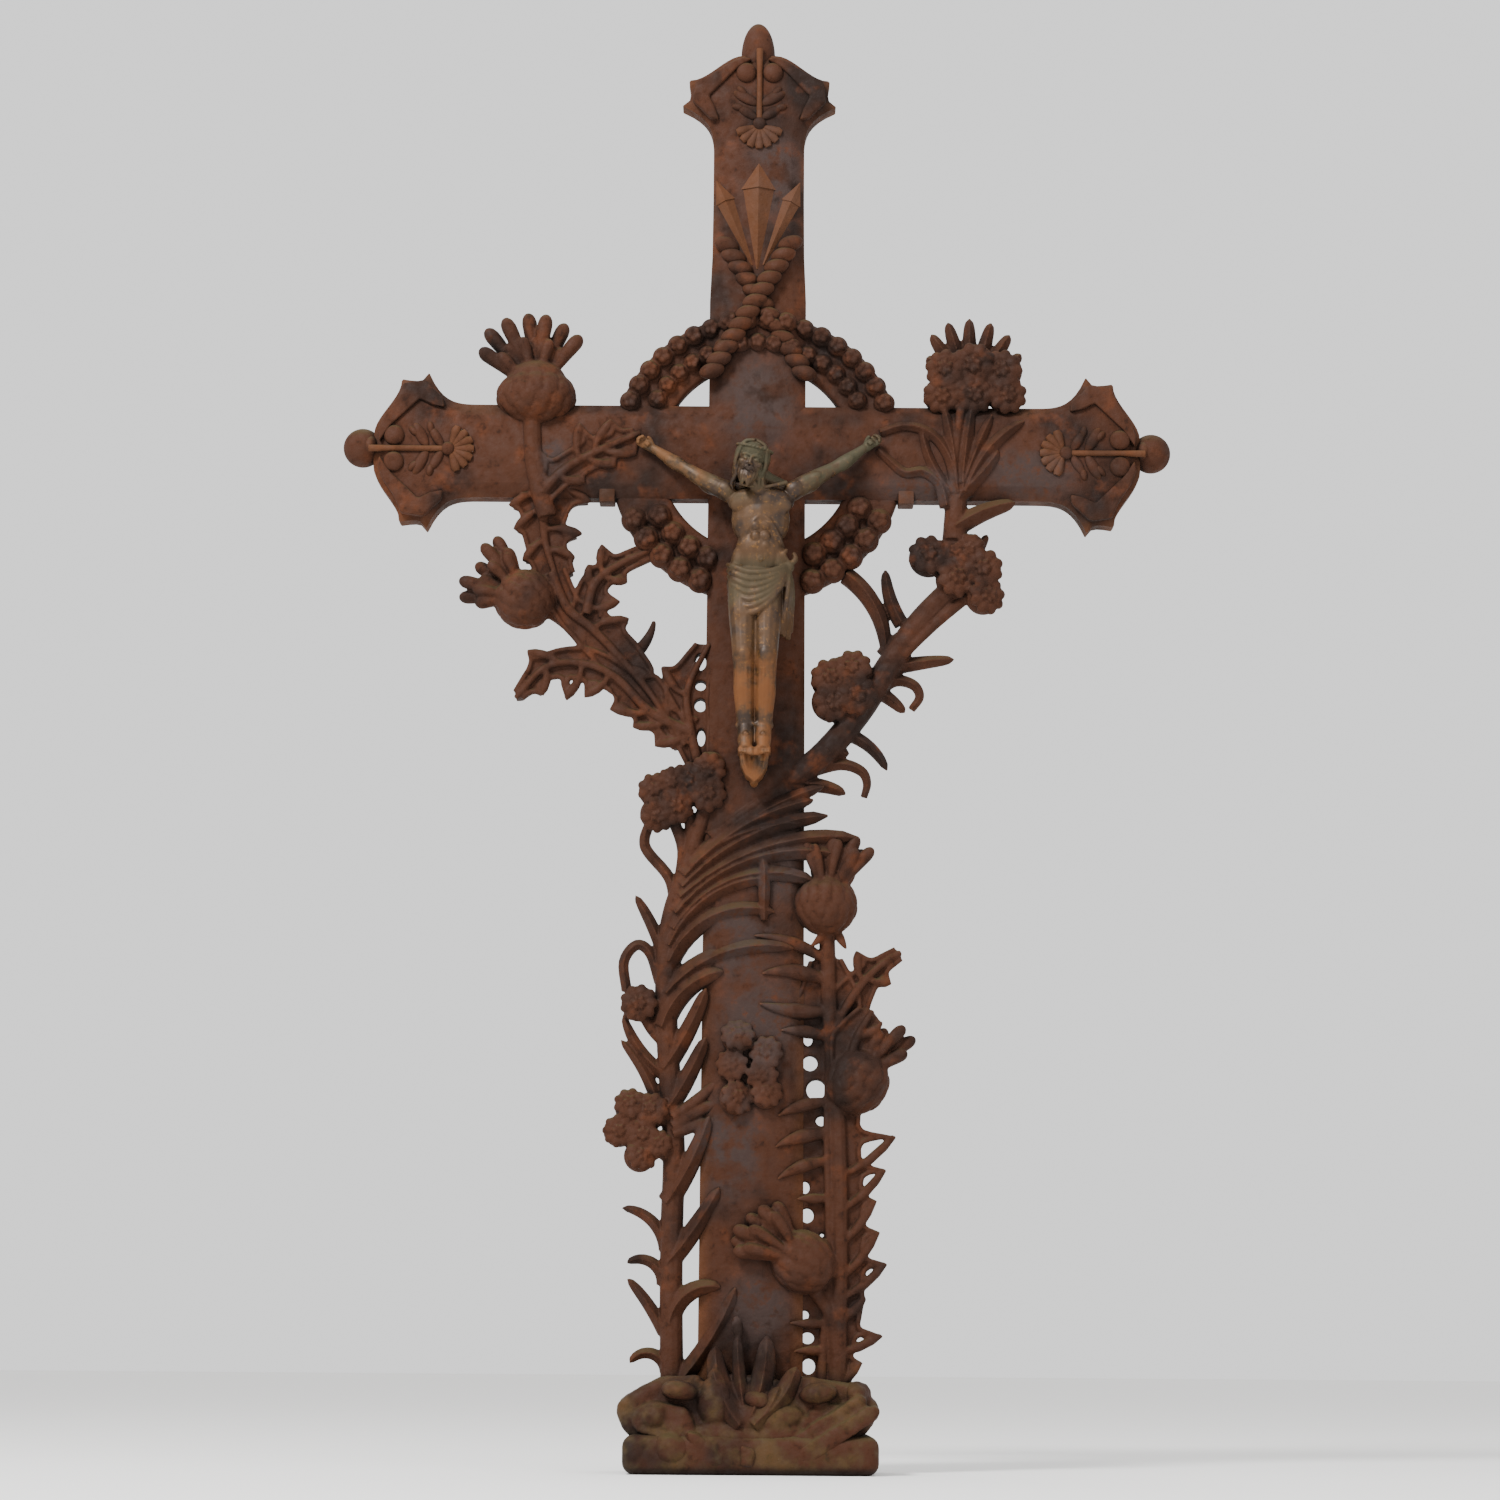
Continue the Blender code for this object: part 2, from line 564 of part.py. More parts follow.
def left_thistle(group):
    """The thistle that grows from the shaft over the left arm, with two heads."""
    spiny_leaf(
        "left_thistle_high", group, [(-200, 930), (-204, 895), (-200, 868), (-190, 838)],
        (26, 19, 17, 17), [(-236, 912), (-231, 889), (-222, 858), (-160, 916), (-168, 884), (-175, 861)],
    )
    spiny_leaf(
        "left_thistle_link", group, [(-162, 808), (-154, 836), (-130, 855), (-98, 868)],
        (14, 12, 8, 7), [(-160, 853), (-147, 873), (-124, 838), (-131, 819)], middle=LEAF_DEPTH - 0.001,
    )
    spiny_leaf(
        "left_thistle_trunk", group,
        [(-196, 846), (-180, 812), (-156, 792), (-130, 765), (-104, 735), (-84, 706)],
        (13, 13, 19, 20, 14, 14), [(-122, 801), (-101, 745)], middle=LEAF_DEPTH - 0.0015,
    )
    spiny_leaf(
        "left_thistle_low", group,
        [(-60, 692), (-100, 712), (-132, 744), (-165, 758), (-200, 754), (-228, 724)],
        (13, 13, 13, 16, 12, 5),
        [(-94, 680), (-115, 698), (-137, 715), (-162, 727), (-180, 724), (-203, 728), (-217, 769)],
        middle=LEAF_DEPTH - 0.002,
    )
    spiny_leaf(
        "left_thistle_inner", group, [(-54, 664), (-62, 700), (-64, 735), (-44, 778)],
        (10, 19, 20, 10), [(-88, 755)],
        [(-52, 761, 11, 17), (-52, 738, 11, 10), (-52, 719, 12, 13), (-51, 688, 8, 18)],
        middle=LEAF_DEPTH - 0.001,
    )
    blade("left_thistle_horn", group, (-128, 762), (-97, 801), -55.0, 1.3, steps=4)
    tips = [(-283, 837), (-283, 822), (-267, 815), (-268, 854), (-262, 872), (-250, 881), (-239, 868)]
    thistle_head("left_thistle_lower", group, -221, 820, (27, 24, 27), tips)
    thistle_head(
        "left_thistle_upper", group, -213, 1022, (36, 27, 27),
        [(-268, 1065), (-263, 1087), (-245, 1096), (-223, 1103), (-204, 1100), (-186, 1093), (-171, 1079)],
        0.3,
    )
    spiny_leaf(
        "beam_leaf", group, [(-206, 925), (-180, 945), (-150, 958), (-114, 978)], (12, 15, 14, 6),
        [(-205, 972), (-160, 988), (-130, 990), (-155, 932), (-128, 950)], middle=FRONT, thickness=0.009,
    )
    tendril("beam_thistle_stem", group, [(-200, 905), (-214, 950), (-217, 1003)], (11.0, 8.5), -0.016, 1)


def right_thistle(group):
    """The thistle that climbs the right of the shaft, with three heads."""
    teeth = [(102, 102), (121, 127), (105, 160), (125, 193), (118, 222), (115, 251), (124, 280), (133, 311)]
    holes = [
        (54, 98, 13, 15), (53, 124, 13, 11), (50, 145, 9, 9), (52, 237, 13, 14), (50, 263, 9, 12),
        (65, 325, 11, 10), (54, 379, 15, 15), (60, 354, 19, 20), (52, 401, 9, 12),
    ]
    spiny_leaf(
        "right_thistle_sheet", group,
        [(66, 50), (67, 110), (72, 160), (72, 240), (70, 320), (72, 390), (71, 440), (68, 480)],
        (24, 26, 31, 31, 29, 30, 29, 12), teeth, holes, steps=1,
    )
    spiny_leaf(
        "right_thistle_leaf", group, [(78, 412), (96, 445), (116, 468), (139, 484)], (24, 16, 8, 5),
        [(129, 455), (98, 484)], middle=LEAF_DEPTH - 0.001,
    )
    tendril(
        "right_thistle_stem", group, [(80, 86), (82, 200), (80, 320), (72, 430), (69, 505)],
        (11.0, 8.5), -0.010, 1, True,
    )
    thistle_head(
        "right_thistle_middle", group, 68, 528, (28, 25, 27),
        [(112, 581), (98, 592), (84, 596), (66, 592), (48, 584)], 0.3,
    )
    blade("right_thistle_bract_0", group, (60, 505), (54, 488), 20.0, 0.7)
    blade("right_thistle_bract_1", group, (78, 506), (88, 485), -10.0, 0.7)
    thistle_head(
        "right_thistle_outer", group, 98, 362, (28, 25, 29),
        [(125, 411), (142, 413), (152, 403), (144, 389)], 0.3,
    )
    spiny_leaf(
        "right_thistle_sheath", group, [(92, 372), (96, 398), (112, 428)], (17, 22, 10),
        [(118, 413)], middle=-0.020, thickness=0.014,
    )
    thistle_head(
        "right_thistle_inner", group, 48, 194, (26, 17, 27),
        [(-16, 203), (-16, 220), (-2, 236), (18, 246)], 0.3, -0.020,
    )
    for i, (root, tip, turn) in enumerate((
        ((50, 425), (8, 433), 20), ((52, 400), (26, 409), -20), ((56, 452), (8, 462), -40),
        ((60, 470), (0, 498), -35), ((50, 310), (24, 300), -20), ((52, 285), (24, 270), -25),
        ((52, 340), (24, 329), -20),
    )):
        blade(f"right_thistle_spur_{i}", group, root, tip, turn, 1.3, (-0.016, -0.019), 3)


def right_immortelle(group):
    """The everlasting flowers on the right: three clusters, their stem and its blades."""
    tendril("right_stem_high", group, [(196, 1005), (193, 950), (190, 880)], (8.0, 13.0), -0.016, 2)
    tendril(
        "right_stem_low", group,
        [(205, 850), (160, 805), (128, 760), (98, 712), (60, 668), (20, 640), (-20, 612)],
        (14.0, 13.0), -0.009, 1,
    )
    flower_cluster(
        "right_flowers_top", group,
        [(178, 1025, 18), (208, 1027, 19), (240, 1025, 18), (184, 1050, 20), (234, 1050, 20), (209, 1056, 20)],
        -0.012,
    )
    for i, (root, tip) in enumerate((
        ((178, 1055), (163, 1065)), ((188, 1055), (168, 1090)), ((195, 1060), (184, 1102)),
        ((205, 1060), (205, 1106)), ((216, 1060), (226, 1102)), ((226, 1058), (245, 1090)),
        ((236, 1048), (256, 1071)),
    )):
        blade(f"right_spike_{i}", group, root, tip, 0.0, 1.0, (-0.008, -0.006), 2)
    flower_cluster(
        "right_flowers_middle", group,
        [(165, 862, 19), (195, 864, 21), (218, 852, 19), (217, 828, 18), (190, 836, 18)],
    )
    flower_cluster("right_flowers_low", group, [(72, 744, 20), (94, 752, 21), (74, 722, 21), (96, 726, 20)])
    blade("right_flower_leaf", group, (212, 870), (222, 887), 0.0, 0.8, steps=2)
    for i, (root, tip, turn, width) in enumerate((
        ((86, 848), (124, 768), 60, 1.45), ((140, 800), (124, 853), 30, 1.1),
        ((130, 758), (189, 765), 8, 1.15), ((112, 738), (143, 714), 20, 1.1),
        ((75, 696), (125, 659), 62, 1.0), ((62, 676), (90, 674), 10, 1.1),
        ((28, 640), (86, 635), 50, 1.2), ((0, 618), (55, 628), 30, 1.2),
    )):
        blade(f"right_blade_{i}", group, root, tip, turn, width, steps=4 if turn > 40 else 2)
    tendril("right_hook_0", group, [(105, 722), (130, 744), (150, 742), (149, 718)], (6.5, 4.2), ridged=True)
    tendril("right_hook_1", group, [(45, 655), (80, 664), (101, 656), (104, 632)], (6.5, 3.6), ridged=True)
    for i, (root, tip, turn, width) in enumerate((
        ((192, 935), (180, 1008), -10, 1.5), ((196, 940), (205, 1008), 5, 1.6),
        ((200, 940), (256, 996), 40, 1.5), ((196, 930), (225, 968), -15, 1.5),
        ((196, 892), (248, 915), 25, 1.5),
    )):
        blade(f"right_beam_blade_{i}", group, root, tip, turn, width, (-0.018, -0.020), 2)
    for name, points in (
        ("high", [(193, 925), (182, 968), (158, 990), (124, 983)]),
        ("low", [(182, 915), (172, 940), (146, 944), (124, 962)]),
    ):
        tendril(f"right_curl_{name}", group, points, (6.5, 4.5), FRONT + 0.001, ridged=True)


def left_immortelle(group):
    """The everlasting flowers on the left: a tall stem, its clusters, and blades that cross the shaft."""
    tendril(
        "left_stem", group,
        [(-72, 60), (-74, 160), (-74, 230), (-73, 300), (-80, 400), (-82, 470), (-76, 520), (-62, 560)],
        (11.5, 10.5), -0.0083, 1,
    )
    tendril("left_stem_fan_0", group, [(-71, 541), (-67, 580), (-76, 612)], (7.0, 6.0), -0.0073, 1)
    tendril("left_stem_fan_1", group, [(-71, 523), (-59, 577), (-46, 621)], (9.5, 9.0), -0.0112, 1)
    blades = [
        ((-78, 92), (-112, 101), -150, 1.0), ((-80, 128), (-114, 176), -18, 1.0),
        ((-82, 170), (-116, 193), -130, 1.0), ((-78, 202), (-120, 244), -80, 1.0),
        ((-88, 335), (-123, 399), -30, 1.0), ((-84, 480), (-112, 535), -14, 1.0),
        ((-80, 366), (-122, 424), 40, 1.1), ((-66, 85), (-46, 128), -22, 1.1),
        ((-66, 150), (-28, 174), 95, 1.2), ((-68, 208), (-28, 262), -10, 1.3),
        ((-70, 262), (-44, 325), -16, 1.3), ((-72, 350), (-44, 404), -16, 1.2),
        ((-74, 385), (-44, 448), -18, 1.2), ((-76, 430), (-28, 464), 65, 1.5),
    ]
    for i, (root, tip, turn, width) in enumerate(blades):
        blade(f"left_blade_{i}", group, root, tip, turn, width, steps=4 if abs(turn) > 80 else 2)
    loop = [(-88, 455), (-97, 484), (-112, 489), (-122, 468), (-118, 446)]
    tendril("left_loop", group, loop, (5.0, 5.0), ridged=True)
    tendril("left_wave", group, [(-74, 530), (-80, 556), (-100, 576), (-101, 602)], (5.5, 5.0), ridged=True)
    arches = [
        ((-72, 470), (36, 486), 60, 1.5), ((-70, 500), (16, 522), 85, 1.5),
        ((-66, 530), (64, 540), 88, 1.7), ((-64, 545), (80, 572), 66, 1.8), ((-60, 560), (98, 591), 48, 1.7),
        ((-56, 575), (54, 622), 40, 1.6), ((-50, 590), (48, 600), 45, 1.6),
    ]
    for i, (root, tip, turn, width) in enumerate(arches):
        blade(f"left_arch_{i}", group, root, tip, turn, width, (-0.0125 - 0.0003 * i, -0.018), 3)
    flower_cluster(
        "left_flowers_top", group,
        [(-93, 634, 17), (-92, 612, 17), (-74, 620, 17), (-62, 642, 18), (-42, 630, 18), (-46, 656, 17)],
    )
    flower_cluster("left_flower_single", group, [(-108, 440, 14), (-104, 426, 13)], -0.010)
    flower_cluster(
        "left_flowers_low", group,
        [(-116, 336, 16), (-96, 332, 16), (-123, 312, 17), (-100, 308, 17), (-104, 290, 16)],
    )
    flower_cluster(
        "shaft_flowers", group,
        [(-14, 412, 14), (-14, 384, 14), (8, 376, 13), (-20, 358, 14), (0, 350, 14), (-14, 332, 13)],
        FRONT + 0.001, 0.7,
    )
    tendril("shaft_flower_stem", group, [(-74, 320), (-48, 334), (-20, 345)], (8.5, 6.0), -0.015)


def stone(name, group, outline, front, back):
    """A slab of rock: a drawn outline between two depths, with its edges broken."""
    places = [spot(x, z, 0.0) for x, z in outline]
    obj = plate(name, group, [[(p.x, p.z) for p in places]], (front + back) / 2, back - front)
    bm = bmesh.new()
    bm.from_mesh(obj.data)
    level = [e for e in bm.edges if abs(e.verts[0].co.y - e.verts[1].co.y) < 1e-5]
    rim = [e for e in level if len(e.link_faces) == 2 and e.calc_face_angle(0.0) > 0.5]
    bmesh.ops.bevel(bm, geom=rim, offset=0.006, segments=1, affect="EDGES", clamp_overlap=True)
    bm.to_mesh(obj.data)
    bm.free()
    return obj


def foot(group):
    """The rolled plinth, the rocks on it, and the iris that grows from them."""
    front, back = -FOOT_DEPTH / 2, FOOT_DEPTH / 2
    bm = bmesh.new()
    bmesh.ops.create_cube(bm, size=1.0)
    raised = Matrix.Translation((0.0, 0.0, PLINTH_HEIGHT / 2))
    bm.transform(raised @ Matrix.Diagonal((PLINTH_WIDTH, FOOT_DEPTH, PLINTH_HEIGHT, 1.0)))
    bmesh.ops.bevel(bm, geom=bm.edges[:], offset=PLINTH_ROUND, segments=1, affect="EDGES")
    as_shape(object_from(bm, "plinth", group))
    left = [(-96, 30), (-118, 40), (-124, 62), (-112, 71), (-84, 87), (-46, 90), (-30, 66), (-36, 30)]
    stone("rock_left", group, left, front + 0.012, back - 0.018)
    right = [(30, 30), (98, 32), (113, 46), (120, 61), (110, 72), (86, 84), (44, 90), (20, 70)]
    stone("rock_right", group, right, front + 0.014, back - 0.020)
    lump("rock_knob", group, spot(98, 73, front + 0.045), (0.013, 0.030, 0.012))
    middle = [(-40, 30), (-42, 74), (-18, 92), (26, 86), (40, 60), (38, 30)]
    stone("rock_middle", group, middle, front + 0.022, back - 0.014)
    lump("rock_round", group, spot(-31, 60, front + 0.024), (0.022, 0.020, 0.025), turn=7)
    lump("rock_low", group, spot(18, 48, front + 0.022), (0.034, 0.018, 0.016), turn=10)
    lump("pebble", group, spot(-72, 23, front + 0.006), (0.0175, 0.012, 0.0145), turn=-15)
    slab = [(44, 12), (58, 11), (112, 45), (119, 60), (106, 62), (42, 23)]
    stone("slab_right", group, slab, front - 0.001, front + 0.030)
    slab = [(-36, 8), (-58, 32), (-52, 40), (-22, 18), (-24, 8)]
    stone("slab_left", group, slab, front - 0.001, front + 0.030)
    stone("root_stub", group, [(-9, 8), (3, 8), (4, 24), (-8, 26)], front - 0.003, front + 0.020)
    for i, (root, tip, turn, width, lean) in enumerate((
        ((-9, 50), (-32, 116), 45, 1.8, -0.030), ((-6, 46), (-33, 93), 35, 1.9, -0.046),
        ((-4, 52), (-12, 140), 12, 1.5, -0.026), ((0, 50), (14, 122), -24, 1.9, -0.028),
        ((4, 48), (40, 95), -42, 1.9, -0.042),
    )):
        blade(f"iris_{i}", group, root, tip, turn, width, (front + 0.016, lean), 2)


def union(body, shapes, solver):
    joined = body.modifiers.new("cast together", "BOOLEAN")
    joined.operation = "UNION"
    joined.operand_type = "COLLECTION"
    joined.collection = shapes
    joined.solver = solver


def as_triangles(body):
    facets = body.modifiers.new("facets", "TRIANGULATE")
    facets.ngon_method = "BEAUTY"


def hollow_back(body, group):
    """The open trough that a sand mould leaves in the back of the shaft and the beam."""
    depth = BODY_DEPTH - FACE_WALL
    half = SHAFT_NECK_WIDTH / 2 - CASTING_WALL
    low, high = ROCK_HEIGHT + CASTING_WALL, TOP_SHOULDER - 0.070
    arm_half = BEAM_WIDTH / 2 - CASTING_WALL
    arm = SIDE_SHOULDER - 0.070
    middle_low, middle_high = BEAM_AXIS_HEIGHT - arm_half, BEAM_AXIS_HEIGHT + arm_half
    upright = [(-half, low), (half, low), (half, high), (-half, high)]
    crosswise = [(-arm, middle_low), (arm, middle_low), (arm, middle_high), (-arm, middle_high)]
    over = 0.010
    plate("trough_upright", group, [upright], BACK - depth / 2 + over / 2, depth + over)
    plate("trough_crosswise", group, [crosswise], BACK - depth / 2 + over / 2, depth + over)
    cut = body.modifiers.new("open back", "BOOLEAN")
    cut.operation = "DIFFERENCE"
    cut.operand_type = "COLLECTION"
    cut.collection = group
    cut.solver = "MANIFOLD"


def figure_spot(x, y, z):
    """A drawn point of the figure, in millimetres, with y counted forward from the face of the cross."""
    place = spot(x, z, 0.0)
    return Vector((place.x, FRONT - FIGURE_GAP - y * MM, place.z))


def limb(name, group, points, radii, sides=8):
    return rod(name, group, [figure_spot(*p) for p in points], radii, sides)


def corpus(group, shapes):
    """The figure: trunk, head, limbs, loincloth and the wedge under the feet, joined into one casting."""
    bm = bmesh.new()
    bmesh.ops.create_icosphere(bm, subdivisions=2, radius=1.015)
    centre = figure_spot(6, 30, 893)
    bm.transform(Matrix.Translation(centre) @ Matrix.Diagonal((0.0270, 0.0165, 0.0400, 1.0)))
    body = object_from(bm, "corpus", group)
    limb("waist", shapes, [(6, 29, 890), (6, 28, 862), (0, 27, 815)], (20, 18.5, 19), 8)
    limb("shoulders", shapes, [(-28, 27, 921), (4, 31, 915), (34, 27, 921)], (9.0, 14.5, 9.0), 6)
    limb("neck", shapes, [(3, 33, 918), (-3, 43, 940)], (8.5, 8.5), 6)
    lump("head", shapes, figure_spot(-5, 44, 947), (0.0165, 0.0175, 0.0215), turn=-14, fine=2)
    lump("hair", shapes, figure_spot(-3, 38, 948), (0.0195, 0.0170, 0.0215), turn=-14)
    lump("beard", shapes, figure_spot(-9, 50, 931), (0.0085, 0.0080, 0.0110), turn=-14)
    for name, side, hand, elbow in (
        ("left", -1, (-106, 7.5, 969), (-70, 15, 946)),
        ("right", 1, (110, 7.5, 973), (70, 15, 946)),
    ):
        shoulder = (-28, 26, 921) if side < 0 else (34, 26, 921)
        wrist = tuple(h + 0.16 * (e - h) for h, e in zip(hand, elbow))
        limb(f"arm_{name}", shapes, [shoulder, elbow, wrist], (9.5, 8.0, 5.0), 6)
        palm = figure_spot(hand[0], 6.5, hand[2])
        lump(f"hand_{name}", shapes, palm, (0.0115, 0.0060, 0.0085), turn=side * 30)
        pin = [figure_spot(hand[0], 5, hand[2]), figure_spot(hand[0] + 0.1, 15, hand[2])]
        rod(f"pin_{name}", shapes, pin, (3.0, 4.0), 4)
    for name, x in (("left", -10.0), ("right", 9.0)):
        points = [(x * 1.1, 27, 822), (x * 0.95, 45, 757), (x * 0.7, 24, 694)]
        limb(f"leg_{name}", shapes, points, (13.5, 10.0, 6.8), 6)
        foot_points = [(x * 0.75, 22, 698), (x * 0.6, 36, 660)]
        limb(f"foot_{name}", shapes, foot_points, (7.0, 6.4), 6)
    for i in range(CLOTH_FOLDS):
        share = i / (CLOTH_FOLDS - 1)
        left = (-27 + 2 * share, 28.6, 845 - 32 * share)
        right = (31 - 3 * share, 29.2, 849 - 20 * share)
        middle = (2, 45 - 3 * share, 837 - 30 * share)
        limb(f"fold_{i}", shapes, [left, middle, right], (5.0, 6.0, 4.6), 4)
    limb("cloth_back", shapes, [(-2, 22, 850), (0, 24, 830), (-2, 24, 806)], (25, 27, 22), 6)
    limb("knot", shapes, [(30, 27, 850), (34, 26, 836)], (6.5, 6.0), 4)
    limb("drape", shapes, [(32, 24, 846), (27, 20, 784)], (7.5, 5.0), 6)
    wedge_outline = ((-15, 672), (15, 672), (13, 652), (4, 640), (-4, 640), (-13, 652))
    wedge = [figure_spot(x, 0.0, z) for x, z in wedge_outline]
    depth = 30 * MM
    plate("foot_wedge", shapes, [[(p.x, p.z) for p in wedge]], FRONT - FIGURE_GAP - depth / 2, depth)
    return body


def flatten_behind(body, group):
    """Keeps the figure's back clear of the cross that it lies against."""
    low, high = figure_spot(0, 0, 560).z, figure_spot(0, 0, 1060).z
    half = 0.200
    wall = [(-half, low), (half, low), (half, high), (-half, high)]
    plate("figure_back", group, [wall], FRONT - FIGURE_GAP + 0.020, 0.040)
    cut = body.modifiers.new("clear of the cross", "BOOLEAN")
    cut.operation = "DIFFERENCE"
    cut.object = bpy.data.objects["figure_back"]
    cut.solver = "EXACT"


def main():
    clear_scene()
    parts = new_collection("crucifix")
    cast_shapes = new_collection("casting_shapes")
    figure_shapes = new_collection("figure_shapes")
    profiles = new_collection("profiles")
    trough = new_collection("trough")
    cutters = new_collection("cutters")
    ridge_profile(profiles)
    body = cross_body(parts)
    ends(cast_shapes)
    ring(cast_shapes)
    nails_and_ropes(cast_shapes)
    lugs(cast_shapes)
    left_thistle(cast_shapes)
    right_thistle(cast_shapes)
    right_immortelle(cast_shapes)
    left_immortelle(cast_shapes)
    foot(cast_shapes)
    figure = corpus(parts, figure_shapes)
    union(body, cast_shapes, "MANIFOLD")
    hollow_back(body, trough)
    union(figure, figure_shapes, "EXACT")
    flatten_behind(figure, cutters)
    as_triangles(body)
    as_triangles(figure)
    body.data.materials.append(new_material("rusted cast iron", (0.110, 0.060, 0.042), 0.25, 0.75))
    figure.data.materials.append(new_material("patinated bronze", (0.230, 0.150, 0.070), 0.55, 0.55))
    for group in (cast_shapes, figure_shapes, profiles, trough, cutters):
        group.hide_render = True


main()
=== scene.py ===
"""Cast iron crucifix: the looks of the iron casting and of the figure on it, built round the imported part."""

import math

import bpy
from mathutils import Matrix, Vector, noise


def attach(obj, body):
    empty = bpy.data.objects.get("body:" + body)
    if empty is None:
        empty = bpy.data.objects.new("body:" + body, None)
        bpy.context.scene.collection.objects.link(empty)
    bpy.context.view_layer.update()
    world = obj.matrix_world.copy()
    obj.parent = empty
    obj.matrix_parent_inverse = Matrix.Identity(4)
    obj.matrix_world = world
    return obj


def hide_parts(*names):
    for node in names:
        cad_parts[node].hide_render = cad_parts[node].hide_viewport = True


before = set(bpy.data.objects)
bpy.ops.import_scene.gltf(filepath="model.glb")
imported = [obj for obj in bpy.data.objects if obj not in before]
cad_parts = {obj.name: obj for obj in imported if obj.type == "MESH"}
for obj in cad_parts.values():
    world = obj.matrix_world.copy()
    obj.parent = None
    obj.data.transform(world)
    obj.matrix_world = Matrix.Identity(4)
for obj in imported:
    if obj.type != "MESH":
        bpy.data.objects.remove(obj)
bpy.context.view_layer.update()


# Iron: grey cast iron, poured in a sand mould and left outdoors. Sand grains leave a fine pitted skin, rust
# gives red-brown clouds with orange scabs, edges are worn lighter, bare faces show grey-violet metal, and
# pale green lichen sits on top edges; the same pale green on every upward face is also painted top light.
# Hollows and creases are darkened with painted shade.

MM = 0.001
RUST_MID = "3A1F11"
RUST_DARK = "1D100A"
RUST_ORANGE = "522A14"
WORN_EDGE = "5E3A22"
WORN_GREY = "352824"
# Pale green of lichen, also laid on upward faces as painted top light.
LICHEN_AND_TOP_LIGHT = "403820"
# Near black painted shade, laid into hollows and creases.
HOLLOW_SHADE = "0F0805"
SPECK = "786E5E"
WORN_SPOTS = [
    (0, 1012, 46, 62), (14, 1240, 40, 60), (-196, 958, 16, 34), (262, 945, 60, 34), (-12, 492, 44, 50),
    (6, 415, 50, 60), (-22, 300, 44, 66), (6, 150, 42, 46), (160, 930, 60, 24), (20, 560, 40, 40),
]


def linear(shade):
    """An sRGB hex colour as the linear colour that a shader takes."""
    parts = [int(shade[i : i + 2], 16) / 255 for i in (0, 2, 4)]
    return (*[p / 12.92 if p <= 0.04045 else ((p + 0.055) / 1.055) ** 2.4 for p in parts], 1.0)


def add_node(tree, kind, settings=(), values=(), links=()):
    """A shader node with its settings, its typed values and its links."""
    node = tree.nodes.new(kind)
    for name, value in dict(settings).items():
        setattr(node, name, value)
    for name, value in dict(values).items():
        node.inputs[name].default_value = value
    for name, socket in dict(links).items():
        tree.links.new(socket, node.inputs[name])
    return node


def grain(tree, where, size_mm, detail=3.0):
    """Noise whose clouds are about so many millimetres across."""
    values = {"Scale": 0.6 / (size_mm * MM), "Detail": detail, "Roughness": 0.6}
    return add_node(tree, "ShaderNodeTexNoise", values=values, links={"Vector": where}).outputs["Fac"]


def steps_of(tree, value, low, high, to_low=0.0, to_high=1.0):
    """A smooth step of a value from one level to another."""
    values = {"From Min": low, "From Max": high, "To Min": to_low, "To Max": to_high}
    settings = {"interpolation_type": "SMOOTHSTEP"}
    return add_node(tree, "ShaderNodeMapRange", settings, values, {"Value": value}).outputs["Result"]


def painted(tree, below, above, share):
    """One colour laid over another by a share; each colour is a hex or a socket."""
    values, links = {}, {0: share}
    for socket, colour in ((6, below), (7, above)):
        if isinstance(colour, str):
            values[socket] = linear(colour)
        else:
            links[socket] = colour
    return add_node(tree, "ShaderNodeMix", {"data_type": "RGBA"}, values, links).outputs[2]


def combined(tree, operation, first, second):
    return add_node(tree, "ShaderNodeMath", {"operation": operation}, links={0: first, 1: second}).outputs[0]


def product(tree, first, second):
    return combined(tree, "MULTIPLY", first, second)


def largest(tree, values):
    top = values[0]
    for value in values[1:]:
        top = combined(tree, "MAXIMUM", top, value)
    return top


# Painted shade: the colour darkened toward near black where ambient occlusion finds hollows and creases.
def painted_hollow_shade(tree, colour, reach_mm, low, high, share):
    values = {"Distance": reach_mm * MM}
    hollow = add_node(tree, "ShaderNodeAmbientOcclusion", {"samples": 6}, values).outputs["AO"]
    return painted(tree, colour, HOLLOW_SHADE, steps_of(tree, hollow, low, high, share, 0.0))


def bumped(tree, height, strength, depth_mm, below=None):
    """The normal of a surface with bumps, over another one's if given."""
    links = {"Height": height, "Normal": below} if below else {"Height": height}
    values = {"Strength": strength, "Distance": depth_mm * MM}
    return add_node(tree, "ShaderNodeBump", values=values, links=links).outputs["Normal"]


def blank_material(name):
    """A new material, its node tree, its shader and the place of each point."""
    material = bpy.data.materials.new(name)
    material.use_nodes = True
    tree = material.node_tree
    where = add_node(tree, "ShaderNodeTexCoord").outputs["Object"]
    return material, tree, tree.nodes["Principled BSDF"], where


